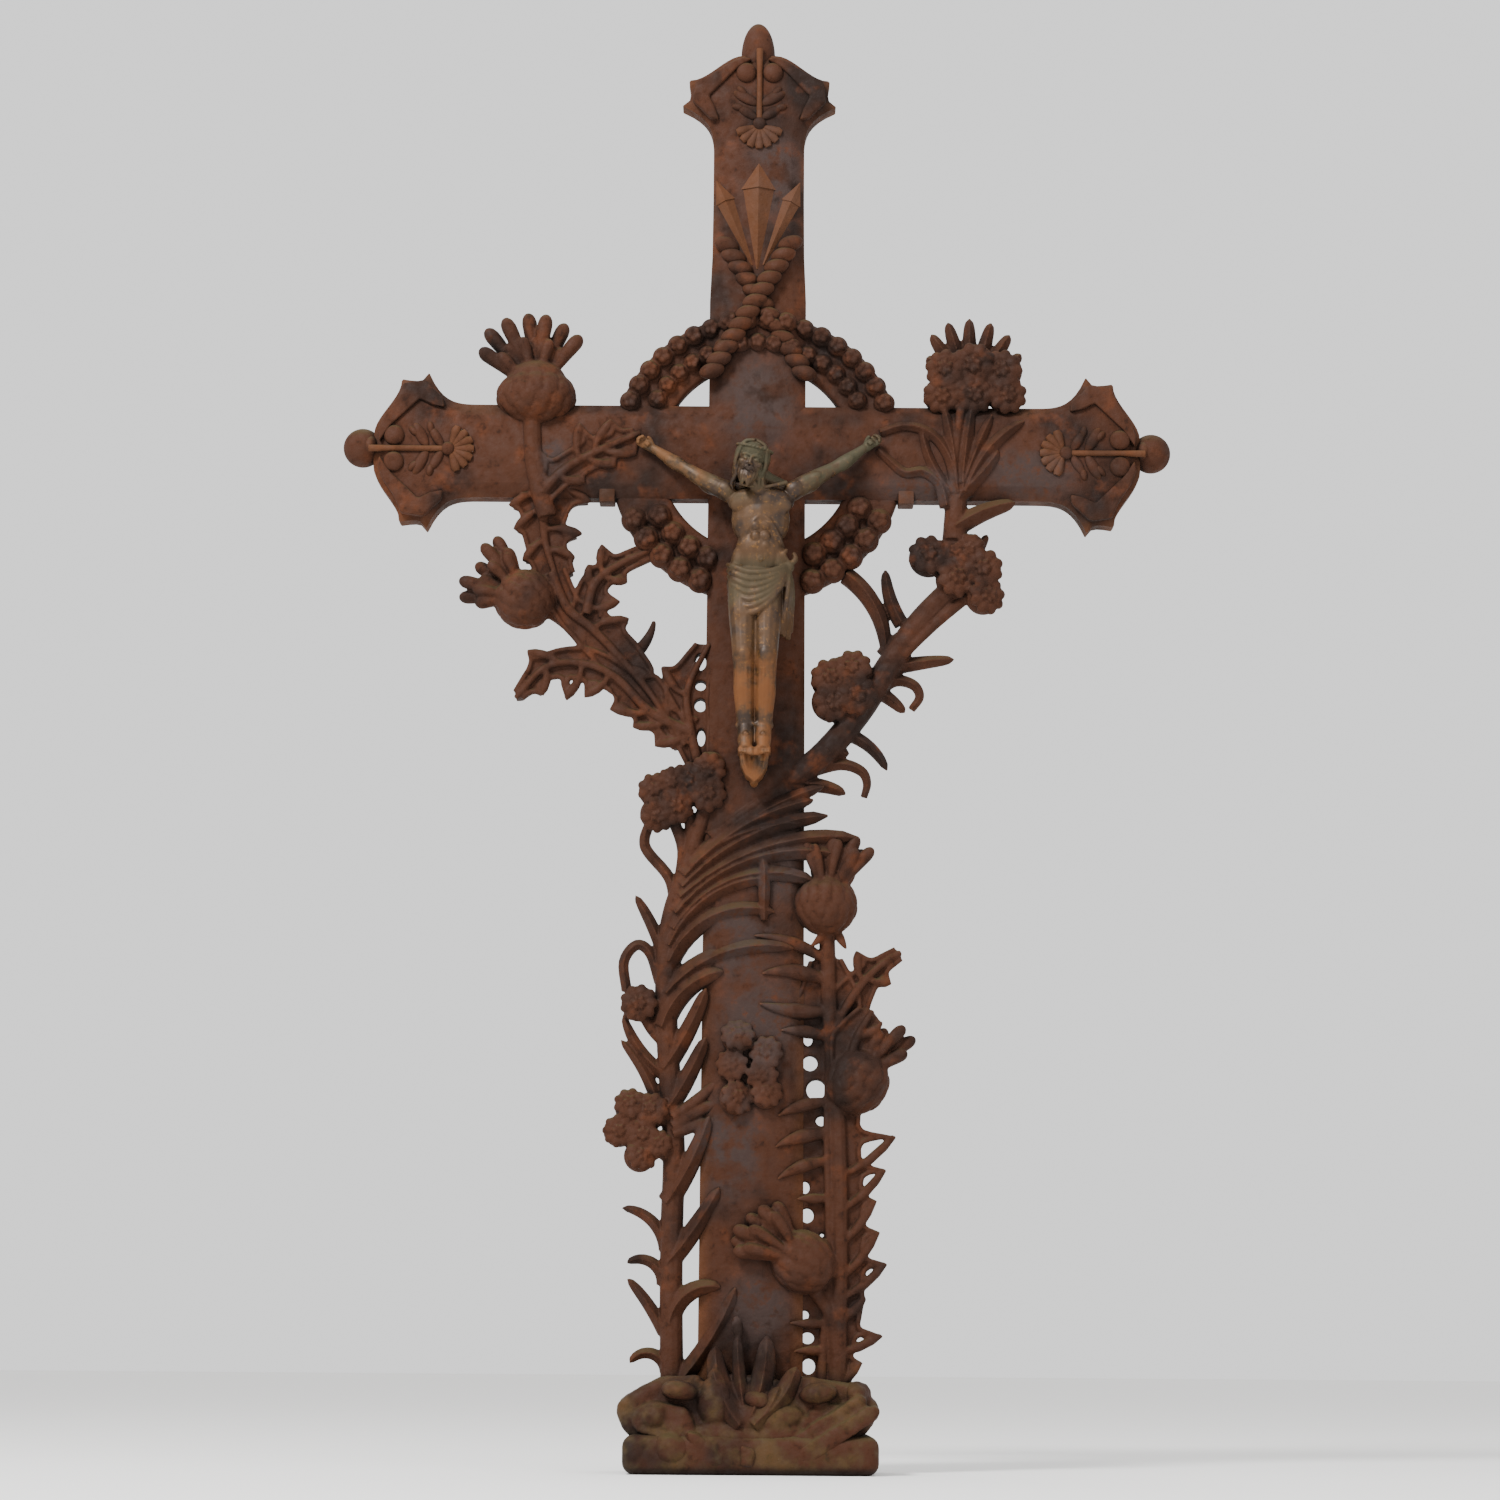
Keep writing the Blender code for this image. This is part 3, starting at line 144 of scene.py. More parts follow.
def sand_cast_iron():
    material, tree, shader, where = blank_material("rusted sand-cast iron")
    surface = add_node(tree, "ShaderNodeNewGeometry")
    up = add_node(tree, "ShaderNodeSeparateXYZ", links={"Vector": surface.outputs["Normal"]}).outputs["Z"]
    clouds, blotches = grain(tree, where, 55), grain(tree, where, 16)
    scabs, pits = grain(tree, where, 5, 5.0), grain(tree, where, 1.6, 2.0)
    colour = painted(tree, RUST_DARK, RUST_MID, steps_of(tree, clouds, 0.34, 0.56))
    colour = painted(tree, colour, RUST_ORANGE, steps_of(tree, blotches, 0.52, 0.74, 0.0, 0.6))
    colour = painted(tree, colour, RUST_DARK, steps_of(tree, scabs, 0.56, 0.74, 0.0, 0.7))
    spots = []
    for x, z, across, high in WORN_SPOTS:
        mapping = {"Location": (-x / across, 0.0, -z / high), "Scale": (1000 / across, 0.0, 1000 / high)}
        centred = add_node(tree, "ShaderNodeMapping", values=mapping, links={"Vector": where})
        links = {0: centred.outputs["Vector"]}
        distance = add_node(tree, "ShaderNodeVectorMath", {"operation": "LENGTH"}, links=links)
        spots.append(steps_of(tree, distance.outputs["Value"], 0.35, 1.15, 1.0, 0.0))
    worn = product(tree, largest(tree, spots), steps_of(tree, blotches, 0.38, 0.55))
    colour = painted(tree, colour, WORN_GREY, product(tree, worn, steps_of(tree, scabs, 0.30, 0.52)))
    # Lichen and painted top light: every upward face gets the pale green in clouds, lighter than the rust, as
    # if lit from above.
    lichen_and_lit_top = product(tree, steps_of(tree, up, 0.35, 0.95, 0.0, 0.7), steps_of(tree, clouds, 0.40, 0.62))
    colour = painted(tree, colour, LICHEN_AND_TOP_LIGHT, lichen_and_lit_top)
    height = add_node(tree, "ShaderNodeSeparateXYZ", links={"Vector": where}).outputs["Z"]
    damp = product(tree, steps_of(tree, height, 0.045, 0.125, 0.5, 0.0), steps_of(tree, blotches, 0.42, 0.66))
    colour = painted(tree, colour, LICHEN_AND_TOP_LIGHT, damp)
    specks = product(tree, steps_of(tree, pits, 0.76, 0.80), steps_of(tree, blotches, 0.55, 0.7, 0.0, 0.5))
    colour = painted(tree, colour, SPECK, specks)
    # Painted shade in the hollows and creases of the casting.
    colour = painted_hollow_shade(tree, colour, 14, 0.25, 0.85, 0.85)
    edges = steps_of(tree, surface.outputs["Pointiness"], 0.53, 0.63, 0.0, 0.5)
    colour = painted(tree, colour, WORN_EDGE, edges)
    tree.links.new(colour, shader.inputs["Base Color"])
    tree.links.new(steps_of(tree, scabs, 0.3, 0.7, 0.66, 0.92), shader.inputs["Roughness"])
    shader.inputs["Specular IOR Level"].default_value = 0.18
    rough = bumped(tree, scabs, 0.8, 1.4)
    tree.links.new(bumped(tree, pits, 0.7, 0.5, rough), shader.inputs["Normal"])
    return material


iron = sand_cast_iron()


# Cross: the shaft and the beam, one flat slab with a wide chamfer round the front and an open trough in the
# back, and three flared ends, each with cusps and a raised border.

FACE = -20
CROSS_BACK = 8
CHAMFER_WIDE = 12.5
CHAMFER_DEEP = 8
BEAM_AXIS = 965.5
BEAM_HALF = 45.7
NECK_HALF = 44
SIDE_SHOULDER = 368.6
RIM_RISE = 3.6
TOP_SHOULDER = 1364
SHAFT_HALF = 46.5
SHAFT_FOOT_HALF = 49
TROUGH_HALF = 34
TROUGH_FOOT = 98
TROUGH_STOP = 70
TROUGH_FRONT = -10
TROUGH_WALL = 10
BORDER_EDGE = ((68, -5), (67, 4), (57, 13), (50, 21), (28, 18), (25, 10), (19, -2), (10, -15))
FIELD_EDGE = ((4.5, 17), (6, 7), (18, 24), (44, 49), (56, 43))


def deselect():
    if bpy.context.mode != "OBJECT":
        bpy.ops.object.mode_set(mode="OBJECT")
    bpy.ops.object.select_all(action="DESELECT")


def joined(name, pieces):
    """Several meshes as one object, at the origin, unturned and unscaled."""
    deselect()
    for piece in pieces:
        piece.select_set(True)
    bpy.context.view_layer.objects.active = pieces[0]
    bpy.ops.object.join()
    bpy.ops.object.transform_apply(location=True, rotation=True, scale=True)
    whole = bpy.context.view_layer.objects.active
    whole.name = name
    return whole


def closed(obj, gap=None):
    """A mesh with points nearer than the gap joined and with all its faces turned outward."""
    bpy.context.view_layer.objects.active = obj
    bpy.ops.object.mode_set(mode="EDIT")
    bpy.ops.mesh.select_all(action="SELECT")
    if gap:
        bpy.ops.mesh.remove_doubles(threshold=gap)
    bpy.ops.mesh.normals_make_consistent(inside=False)
    deselect()
    return obj


def modified(obj, kind, **settings):
    """A mesh changed for good by a modifier."""
    deselect()
    bpy.context.view_layer.objects.active = obj
    modifier = obj.modifiers.new(kind.lower(), kind)
    for name, value in settings.items():
        setattr(modifier, name, value)
    bpy.ops.object.modifier_apply(modifier=modifier.name)
    return obj


def rounded(obj, width, segments=3):
    """The edges of a plate rounded off."""
    return modified(obj, "BEVEL", width=width * MM, segments=segments, limit_method="ANGLE")


def block(centre, size, edge, segments):
    """A box with rounded edges, in millimetres."""
    deselect()
    place, scale = ([value * MM for value in values] for values in (centre, size))
    bpy.ops.mesh.primitive_cube_add(size=1, location=place, scale=scale)
    bpy.ops.object.transform_apply(location=True, rotation=True, scale=True)
    bpy.ops.object.mode_set(mode="EDIT")
    bpy.ops.mesh.bevel(offset=edge * MM, segments=segments)
    deselect()
    return bpy.context.view_layer.objects.active


def made_mesh(curve, name):
    """A curve drawn in millimetres of x, z and forward depth, as a closed mesh in its place."""
    obj = bpy.data.objects.new(name, curve)
    bpy.context.scene.collection.objects.link(obj)
    obj.rotation_euler = (math.pi / 2, 0, 0)
    deselect()
    obj.select_set(True)
    bpy.context.view_layer.objects.active = obj
    bpy.ops.object.convert(target="MESH")
    bpy.ops.object.transform_apply(location=True, rotation=True, scale=True)
    return closed(bpy.context.view_layer.objects.active, 1e-6)


def bars(name, lines, sides=8, section=None):
    """Bars along lines of (x, depth, z, radius) in millimetres, round or with a drawn section."""
    curve = bpy.data.curves.new(name, "CURVE")
    curve.dimensions = "3D"
    curve.twist_mode = "Z_UP"
    curve.use_fill_caps = True
    if section:
        curve.bevel_mode = "OBJECT"
        curve.bevel_object = section
    else:
        curve.bevel_depth = MM
        curve.bevel_resolution = (sides - 4) // 2
    for line in lines:
        spline = curve.splines.new("POLY")
        spline.points.add(len(line) - 1)
        for point, (x, depth, z, radius) in zip(spline.points, line):
            point.co = (x * MM, z * MM, -depth * MM, 1.0)
            point.radius = radius
    return made_mesh(curve, name)


def sheet(name, outlines, front, back):
    """A flat outline in millimetres of x and z, with any holes after it, between two depths."""
    curve = bpy.data.curves.new(name, "CURVE")
    curve.dimensions = "2D"
    curve.fill_mode = "BOTH"
    curve.extrude = (back - front) / 2 * MM
    for outline in outlines:
        spline = curve.splines.new("POLY")
        spline.points.add(len(outline) - 1)
        for point, (x, z) in zip(spline.points, outline):
            point.co = (x * MM, z * MM, 0.0, 1.0)
        spline.use_cyclic_u = True
    obj = made_mesh(curve, name)
    obj.data.transform(Matrix.Translation((0.0, (front + back) / 2 * MM, 0.0)))
    return obj


def ball(name, centre, radii, turn=0.0, segments=20, rings=12):
    """An ellipsoid in millimetres, turned in the plane of the cross by an angle in degrees."""
    deselect()
    x, depth, z = centre
    bpy.ops.mesh.primitive_uv_sphere_add(
        segments=segments, ring_count=rings, radius=MM, location=(x * MM, depth * MM, z * MM),
        rotation=(0.0, math.radians(-turn), 0.0), scale=radii,
    )
    obj = bpy.context.view_layer.objects.active
    obj.name = name
    return obj


def flare_side(half_width):
    """One side of a flared end, from neck to finial, as distances from the shoulder and from the axis."""
    cusp = half_width + 30
    side = []
    for i in range(13):
        share = i / 12
        side.append((108 - 55.5 * share, half_width + 30 * share**4.2))
    side += [(51.5, cusp + 0.6), (46, cusp - 6), (41, cusp - 7), (34, cusp - 6.6), (27, cusp - 5.5),
        (25.5, cusp - 7)]
    for i in range(10):
        t = 1 - (i + 1) / 10
        side.append((25.5 * t * t * (3 - 2 * t), 15.7 + (cusp - 7 - 15.7) * t))
    return side


def outline_of_cross():
    beam, top = flare_side(BEAM_HALF), flare_side(NECK_HALF)
    right = [(SHAFT_FOOT_HALF, 18), (SHAFT_HALF, BEAM_AXIS - BEAM_HALF)]
    right += [(SIDE_SHOULDER - s, BEAM_AXIS - away) for s, away in beam]
    right += [(SIDE_SHOULDER - s, BEAM_AXIS + away) for s, away in beam[::-1]]
    for away, above in ((SHAFT_HALF, BEAM_HALF), (SHAFT_HALF, 150), (44.5, 195), (NECK_HALF, 250)):
        right.append((away, BEAM_AXIS + above))
    right += [(away, TOP_SHOULDER - s) for s, away in top]
    return right + [(-x, z) for x, z in reversed(right)]


def gap_to(outline, point):
    """The distance from a point to the nearest edge of an outline."""
    gaps = []
    for i, corner in enumerate(outline):
        start, stop = Vector(outline[i - 1]), Vector(corner)
        run = stop - start
        share = max(0.0, min(1.0, (point - start).dot(run) / run.length_squared))
        gaps.append((start + run * share - point).length)
    return min(gaps)


def inset(outline, distance):
    """An anticlockwise outline moved inward; corners that would cross are laid between their neighbours."""
    moved = []
    for i, (x, z) in enumerate(outline):
        here = Vector((x, z))
        before = (here - Vector(outline[i - 1])).normalized()
        after = (Vector(outline[(i + 1) % len(outline)]) - here).normalized()
        inward = Vector((-before.y - after.y, before.x + after.x)).normalized()
        stretch = max(0.5, inward.dot(Vector((-before.y, before.x))))
        moved.append(here + inward * distance / stretch)
    kept = [i for i, point in enumerate(moved) if gap_to(outline, point) > 0.93 * distance]
    for a, b in zip(kept, kept[1:] + [kept[0] + len(moved)]):
        for i in range(a + 1, b):
            moved[i % len(moved)] = moved[a].lerp(moved[b % len(moved)], (i - a) / (b - a))
    return moved


def cross_slab():
    """The slab: a filled ring of points for the outline, extruded forward and drawn in to the chamfer."""
    outline = outline_of_cross()
    deselect()
    bpy.ops.mesh.primitive_circle_add(vertices=len(outline), radius=1.0, fill_type="NGON")
    obj = bpy.context.view_layer.objects.active
    obj.name = "cross_slab"
    for vertex, (x, z) in zip(obj.data.vertices, outline):
        vertex.co = (x * MM, CROSS_BACK * MM, z * MM)
    layers = ((FACE + CHAMFER_DEEP, 0.0), (FACE + 0.6, CHAMFER_WIDE - 0.4), (FACE, CHAMFER_WIDE + 1.0))
    ring = outline
    for depth, inward in layers:
        bpy.ops.object.mode_set(mode="EDIT")
        bpy.ops.mesh.extrude_region_move()
        bpy.ops.object.mode_set(mode="OBJECT")
        before = [Vector((x, z)) * MM for x, z in ring]
        ring = inset(outline, inward) if inward else outline
        for vertex in [v for v in obj.data.vertices if v.select]:
            gaps = [(place - vertex.co.xz).length for place in before]
            x, z = ring[gaps.index(min(gaps))]
            vertex.co = (x * MM, depth * MM, z * MM)
    return closed(obj)


def hollow_cut(slab):
    """The open trough in the back, cut with two plain boxes."""
    upright = (TROUGH_HALF, TROUGH_FOOT, TOP_SHOULDER - TROUGH_STOP)
    reach = BEAM_HALF - TROUGH_WALL
    crosswise = (SIDE_SHOULDER - TROUGH_STOP, BEAM_AXIS - reach, BEAM_AXIS + reach)
    for half, low, high in (upright, crosswise):
        outline = [(-half, low), (half, low), (half, high), (-half, high)]
        cutter = sheet("trough", [outline], TROUGH_FRONT, CROSS_BACK + 10)
        modified(slab, "BOOLEAN", operation="DIFFERENCE", object=cutter)
        bpy.data.objects.remove(cutter, do_unlink=True)
    return slab


def frames_of_ends():
    """For each end: the shoulder's place, the way inward, the way across and half the width of the neck."""
    return [
        (Vector((-SIDE_SHOULDER, BEAM_AXIS)), Vector((1, 0)), Vector((0, 1)), BEAM_HALF),
        (Vector((SIDE_SHOULDER, BEAM_AXIS)), Vector((-1, 0)), Vector((0, 1)), BEAM_HALF),
        (Vector((0, TOP_SHOULDER)), Vector((0, -1)), Vector((1, 0)), NECK_HALF),
    ]


def end_rims():
    """The raised border of each end, from the finial round to the cusp."""
    plates = []
    for shoulder, inward, across, half in frames_of_ends():
        border = [(s, half + past) for s, past in BORDER_EDGE] + list(FIELD_EDGE)
        for side in (-1, 1):
            outline = [shoulder + inward * s + across * side * away for s, away in border]
            plates.append(rounded(sheet("end_rim", [outline], FACE - RIM_RISE, FACE + 6), 2.6))
    return joined("end_rims", plates)


slab = hollow_cut(cross_slab())
rims = end_rims()


# Ends: on each, a ball or an egg as finial, and a low relief sprig of two berries, a stem, small paired
# leaves and a drooping flower, cast with the cross.

SPRIG_LEAVES = ((46, 13, 62, 14, 5.6), (61, 11, 58, 12, 4.8), (55, 21, 80, 6, 3.6), (39, 17, 45, 6.5, 3.6))


def sprig(shoulder, inward, across):
    def place(s, away, lift=0.0):
        flat = shoulder + inward * s + across * away
        return (flat.x, FACE + 0.5 - lift, flat.y)

    lines = [[(*place(-4, 0, 1.0), 3.4), (*place(30, 0, 1.6), 2.8), (*place(76, 0, 1.0), 3.0)]]
    for i in range(7):
        angle = math.radians(-72 + 24 * i)
        line = []
        for reach, radius in ((3, 2.2), (12, 4.2), (19, 5.0), (23, 3.2)):
            line.append((*place(74 + reach * math.cos(angle), reach * math.sin(angle), 0.6), radius))
        lines.append(line)
    pieces = [bars("sprig", lines, 10)]
    for side in (-1, 1):
        pieces.append(ball("berry", place(20, side * 13, 0.5), (10, 6.0, 10)))
        for s, away, turn, half_long, half_wide in SPRIG_LEAVES:
            angle = math.radians(turn)
            way = across * side * math.sin(angle) - inward * math.cos(angle)
            turn = math.degrees(math.atan2(way.y, way.x))
            pieces.append(ball("leaf", place(s, side * away), (half_long, 4.0, half_wide), turn, 16, 10))
    pieces.append(ball("heart", place(72, 0, 1.5), (6.5, 5.0, 6.5)))
    return pieces


ornaments = []
for frame_of_end in frames_of_ends():
    ornaments += sprig(*frame_of_end[:3])
for side in (-1, 1):
    centre = (side * 380, -2, BEAM_AXIS + 4)
    ornaments.append(ball("finial", centre, (18.7, 18, 18.8), segments=40, rings=24))
    ornaments.append(ball("finial_cap", (side * 372, -3, BEAM_AXIS + 4), (9, 18.2, 12), segments=24))
ornaments.append(ball("egg", (-1.5, -2, 1365.5), (16.5, 16.5, 34.2), segments=40, rings=28))


# Nails and ropes: on the upper shaft three nails with pointed square heads fan out above two thick twisted
# ropes that cross, all in relief.

NAILS = [((0, 1252), (-1, 1146), 17, 15), ((-41, 1234), (-6, 1150), 10, 8.5),
    ((40, 1233), (5, 1150), 10, 8.5)]
NAIL_FLATNESS = 0.62
ROPES = [((-31, 1170), (45, 1043), -20, -17), ((31, 1170), (-44, 1043), -26, 17)]
ROPE_LOBES = 12
ROPE_LOBE = (12.5, 9.0, 7.6)


def spike(top, foot, wide, narrow):
    """A square bar between two points of the face, one edge forward, flattened against the face."""
    way = foot - top
    middle = (top + foot) / 2
    deselect()
    bpy.ops.mesh.primitive_cone_add(
        vertices=4, radius1=wide * MM, radius2=narrow * MM, depth=way.length * MM,
        location=(middle.x * MM, FACE * MM, middle.y * MM), rotation=(0.0, math.atan2(way.x, way.y), 0.0),
    )
    obj = bpy.context.view_layer.objects.active
    bpy.ops.object.transform_apply(location=True, rotation=True, scale=True)
    for vertex in obj.data.vertices:
        vertex.co.y = FACE * MM + (vertex.co.y - FACE * MM) * NAIL_FLATNESS
    return obj


for top, foot, head_half, shank_half in NAILS:
    tip, root = Vector(top), Vector(top).lerp(Vector(foot), 0.25)
    ornaments += [spike(root, tip, head_half, 0.3), spike(root, Vector(foot), shank_half, 1.0)]
for start, stop, depth, turn in ROPES:
    for i in range(ROPE_LOBES):
        share = i / (ROPE_LOBES - 1)
        place = Vector(start).lerp(Vector(stop), share)
        ornaments.append(ball("lobe", (place.x, depth, place.y), ROPE_LOBE, turn))


# Lugs: two square stubs cast under the beam beside the wreath.

for side in (-1, 1):
    ornaments.append(block((side * 143.5, -4.5, 922.5), (15, 25, 14), 1.2, 2))


def dressed(name, pieces, material=iron, node="iron_cross", sharp=60.0):
    """The pieces as one, smooth except at sharp edges, riding on the casting that they stand for."""
    whole = joined(name, pieces)
    bpy.ops.object.shade_smooth_by_angle(angle=math.radians(sharp))
    whole.data.materials.clear()
    whole.data.materials.append(material)
    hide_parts(node)
    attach(whole, "root")
    return whole


dressed("iron_cross_body", [slab, rims] + ornaments, sharp=38.0)


# Wreath: a flat round hoop behind the beam, carrying two rows of round buds, each with a pinched five-lobed
# mouth. At the top the buds pass over the face of the shaft.

WREATH_CENTRE = 962
WREATH_OUTER = 142
WREATH_INNER = 92
BUD_ROWS = ((133.5, 46, 38), (111, 42, 33))
VOXEL = 1.3 * MM


def hoop():
    """The band: a rounded bar spun once round the centre."""
    deselect()
    middle = (WREATH_OUTER + WREATH_INNER) / 2
    bpy.ops.mesh.primitive_plane_add(size=1, location=(middle * MM, -3.5 * MM, WREATH_CENTRE * MM))
    obj = bpy.context.view_layer.objects.active
    obj.scale = ((WREATH_OUTER - WREATH_INNER) * MM, 17 * MM, 1.0)
    bpy.ops.object.transform_apply(location=True, rotation=True, scale=True)
    bpy.ops.object.mode_set(mode="EDIT")
    bpy.ops.mesh.bevel(offset=5 * MM, segments=4, affect="VERTICES")
    bpy.ops.mesh.spin(steps=96, angle=2 * math.pi, center=(0.0, 0.0, WREATH_CENTRE * MM), axis=(0, 1, 0))
    return closed(obj, 1e-5)


def bud_model():
    """One bud of unit radius that faces forward, with five lobes round a pit."""
    parts = [ball("bud", (0, 60, 0), (980, 800, 980), segments=18, rings=12)]
    for i in range(5):
        angle = 2 * math.pi * i / 5
        centre = (430 * math.cos(angle), -600, 430 * math.sin(angle))
        parts.append(ball("lobe", centre, (310, 330, 310), segments=12, rings=8))
    return joined("bud", parts)


def copies(model, places):
    """Copies of a model, each with its own mesh, at (x, depth, z, sizes, turn, lean)."""
    made = []
    for x, depth, z, sizes, turn, lean in places:
        obj = bpy.data.objects.new(model.name + "_copy", model.data.copy())
        bpy.context.scene.collection.objects.link(obj)
        turned = Matrix.Rotation(math.radians(-turn), 4, "Y") @ Matrix.Rotation(math.radians(lean), 4, "X")
        sized = Matrix.Diagonal((*[size * MM for size in sizes], 1.0))
        obj.data.transform(Matrix.Translation((x * MM, depth * MM, z * MM)) @ turned @ sized)
        made.append(obj)
    return made


def melted(name, pieces, voxel=VOXEL, rounds=2):
    """Overlapping closed forms melted into one skin, as a casting is."""
    whole = modified(joined(name, pieces), "REMESH", mode="VOXEL", voxel_size=voxel)
    return modified(whole, "SMOOTH", factor=0.5, iterations=rounds)


bud = bud_model()
bud_places = []
for row, (radius, above, below) in enumerate(BUD_ROWS):
    for count, half_turn in ((above, 1), (below, -1)):
        size = 0.58 * 2 * math.pi * radius / count
        for i in range(count // 2 + 1):
            angle = half_turn * 2 * math.pi * (i + 0.5 * row) / count
            across, up = radius * math.cos(angle), radius * math.sin(angle)
            over_shaft = abs(across) < 40
            if abs(up) < BEAM_HALF - 2 or (over_shaft and up < 0):
                continue
            depth = -20 if over_shaft else -13.0
            bud_places.append((across, depth, WREATH_CENTRE + up, (size, size, size), 37 * i, 0))
wreath = melted("buds", [hoop()] + copies(bud, bud_places), 1.1 * MM, 1)
bpy.data.objects.remove(bud, do_unlink=True)
dressed("wreath", [wreath])


# Thistle on the left: flat spiny leaves with a raised midrib, veins and a rolled edge, two round heads
# covered in scales, and a crown of finger-like petals on each. All one casting, so the forms are melted.

LEAF_FRONT = -15
LEAF_BACK = 5
SPINE_HALF = 9
SCALE_SIZE = (230, 110, 300)
LEAF_SUNK = 3.4


def through(points, steps):
    """Points on a smooth curve through the given ones, as many to each stretch as steps says."""
    points = [Vector(point) for point in points]
    ends = [points[0] * 2 - points[1]] + points + [points[-1] * 2 - points[-2]]
    path = []
    for i in range(len(points) - 1):
        a, b, c, d = ends[i : i + 4]
        for step in range(steps):
            t = step / steps
            square, cube = 2 * a - 5 * b + 4 * c - d, 3 * b - a - 3 * c + d
            path.append(0.5 * (2 * b + (c - a) * t + square * t**2 + cube * t**3))
    return path + [points[-1]]


def along(share, values):
    """The value at a share of the way along evenly spaced ones."""
    place = min(max(share, 0.0), 1.0) * (len(values) - 1)
    low = min(int(place), len(values) - 2)
    return values[low] + (values[low + 1] - values[low]) * (place - low)


def nearest_on(path, point):
    """The place along a path that is nearest a point, with its distance and its side."""
    best = None
    for i in range(len(path) - 1):
        run = path[i + 1] - path[i]
        share = max(0.0, min(1.0, (point - path[i]).dot(run) / run.length_squared))
        away = point - (path[i] + run * share)
        if best is None or away.length < best[1]:
            best = (i + share, away.length, 1.0 if run.x * away.y - run.y * away.x > 0 else -1.0)
    return best


def leaf_edge(path, widths, spines, side):
    """One edge of a spiny leaf from root to tip, hollowed between spines."""
    last = len(path) - 1
    length = sum((b - a).length for a, b in zip(path, path[1:]))
    half = SPINE_HALF * last / length
    found = [nearest_on(path, Vector(s)) for s in spines]
    tips = sorted(f[:2] for f in found if f[2] == side)
    stops = {round(i / 2, 3): along(i / 2 / last, widths) for i in range(2 * last)}
    for place, reach in tips:
        for key in [k for k in stops if abs(k - place) < half]:
            del stops[key]
    for place, reach in tips:
        for away, share in ((-1, 0), (-0.45, 0.1), (-0.2, 0.34), (0, 1), (0.2, 0.34), (0.45, 0.1), (1, 0)):
            key = round(place + away * half, 3)
            if 0.02 < key < last - 0.02 and all(abs(key - k) > 0.02 for k in stops):
                width = along(key / last, widths)
                stops[key] = width + (reach - width) * share
    edge = []
    for place in sorted(stops):
        i = max(0, min(last - 1, int(place)))
        run = path[i + 1] - path[i]
        edge.append(path[i] + run * (place - i) + Vector((-run.y, run.x)).normalized() * side * stops[place])
    return edge


def oval(x, z, across, high):
    turns = [2 * math.pi * i / 12 for i in range(12)]
    return [(x + across / 2 * math.cos(a), z + high / 2 * math.sin(a)) for a in turns]


def spiny_leaf(name, midrib, widths, spines, holes=(), front=LEAF_FRONT, back=LEAF_BACK):
    """A leaf sheet, with its midrib, a vein to each spine, and the rolled edge."""
    path = through(midrib, 5)
    left, right = leaf_edge(path, widths, spines, 1.0), leaf_edge(path, widths, spines, -1.0)
    outline = [(p.x, p.y) for p in left + [path[-1]] + right[::-1]]
    lines = [[(p.x, front + 1.0, p.y, 5.2 - 2.6 * i / len(path)) for i, p in enumerate(path)]]
    for spine in spines:
        tip = Vector(spine)
        place, reach, side = nearest_on(path, tip)
        root = path[max(0, int(place) - 2)]
        bend = (path[min(len(path) - 1, int(place) + 1)] - root) * 0.16
        marks = ((0.0, 2.8, 0.0), (0.35, 3.2, 1.0), (0.62, 4.6, 1.0), (0.84, 4.4, 0.5), (1.0, 2.4, 0.0))
        line = []
        for share, radius, bent in marks:
            p = root + (tip - root) * share - bend * bent
            line.append((p.x, front + 1.6, p.y, radius))
        lines.append(line)
    for edge in (left, right):
        if len(edge) > 3:
            lines.append([(p.x, front + 2.6, p.y, 2.6) for p in edge])
    plate = sheet(name, [outline] + [oval(*hole) for hole in holes], front + LEAF_SUNK, back)
    return [plate, bars(name + "_veins", lines, 8)]


def scaly_ball():
    """The round part of a thistle head at unit size: a ball under rows of overlapping scales."""
    parts = [ball("core", (0, 0, 0), (1000, 1000, 1000), segments=28, rings=18)]
    for row in range(6):
        tilt = math.radians(-62 + 24 * row)
        count = max(6, int(15 * math.cos(tilt)))
        for i in range(count):
            turn = 2 * math.pi * (i + 0.5 * (row % 2)) / count
            out = Vector((math.cos(turn) * math.cos(tilt), math.sin(turn) * math.cos(tilt), math.sin(tilt)))
            scale = ball("scale", (0, 0, 0), (1, 1, 1), segments=8, rings=6)
            facing = out.to_track_quat("Y", "Z").to_matrix().to_4x4()
            shape = Matrix.Diagonal((*SCALE_SIZE, 1))
            scale.matrix_world = Matrix.Translation(out * 0.985) @ facing @ shape
            parts.append(scale)
    return joined("scaly_ball", parts)


def wavy(points, radii, depth, steps=5):
    """A stem or a curling leaf through drawn points, between two radii."""
    path = through(points, steps)
    last = len(path) - 1
    return [(p.x, depth, p.y, radii[0] + (radii[1] - radii[0]) * i / last) for i, p in enumerate(path)]


def arc(root, tip, turn, steps):
    """Points on a circular arc from root to tip that turns by so many degrees, bulging to its left."""
    start = Vector(root)
    chord = Vector(tip) - start
    left = Vector((-chord.y, chord.x)).normalized()
    half = math.radians(turn) / 2
    if abs(half) < 0.02:
        return [start + chord * i / steps for i in range(steps + 1)]
    radius = chord.length / (2 * math.sin(half))
    path = []
    for i in range(steps + 1):
        angle = -half + 2 * half * i / steps
        forward = radius * (math.sin(angle) + math.sin(half))
        path.append(start + chord.normalized() * forward + left * radius * (math.cos(angle) - math.cos(half)))
    return path


FINGER = (
    (0.0, 0.5), (0.25, 0.68), (0.5, 0.86), (0.7, 0.98), (0.84, 1.0), (0.93, 0.86), (0.98, 0.58), (1.0, 0.25),
)
CROWN_ROOT = 0.3


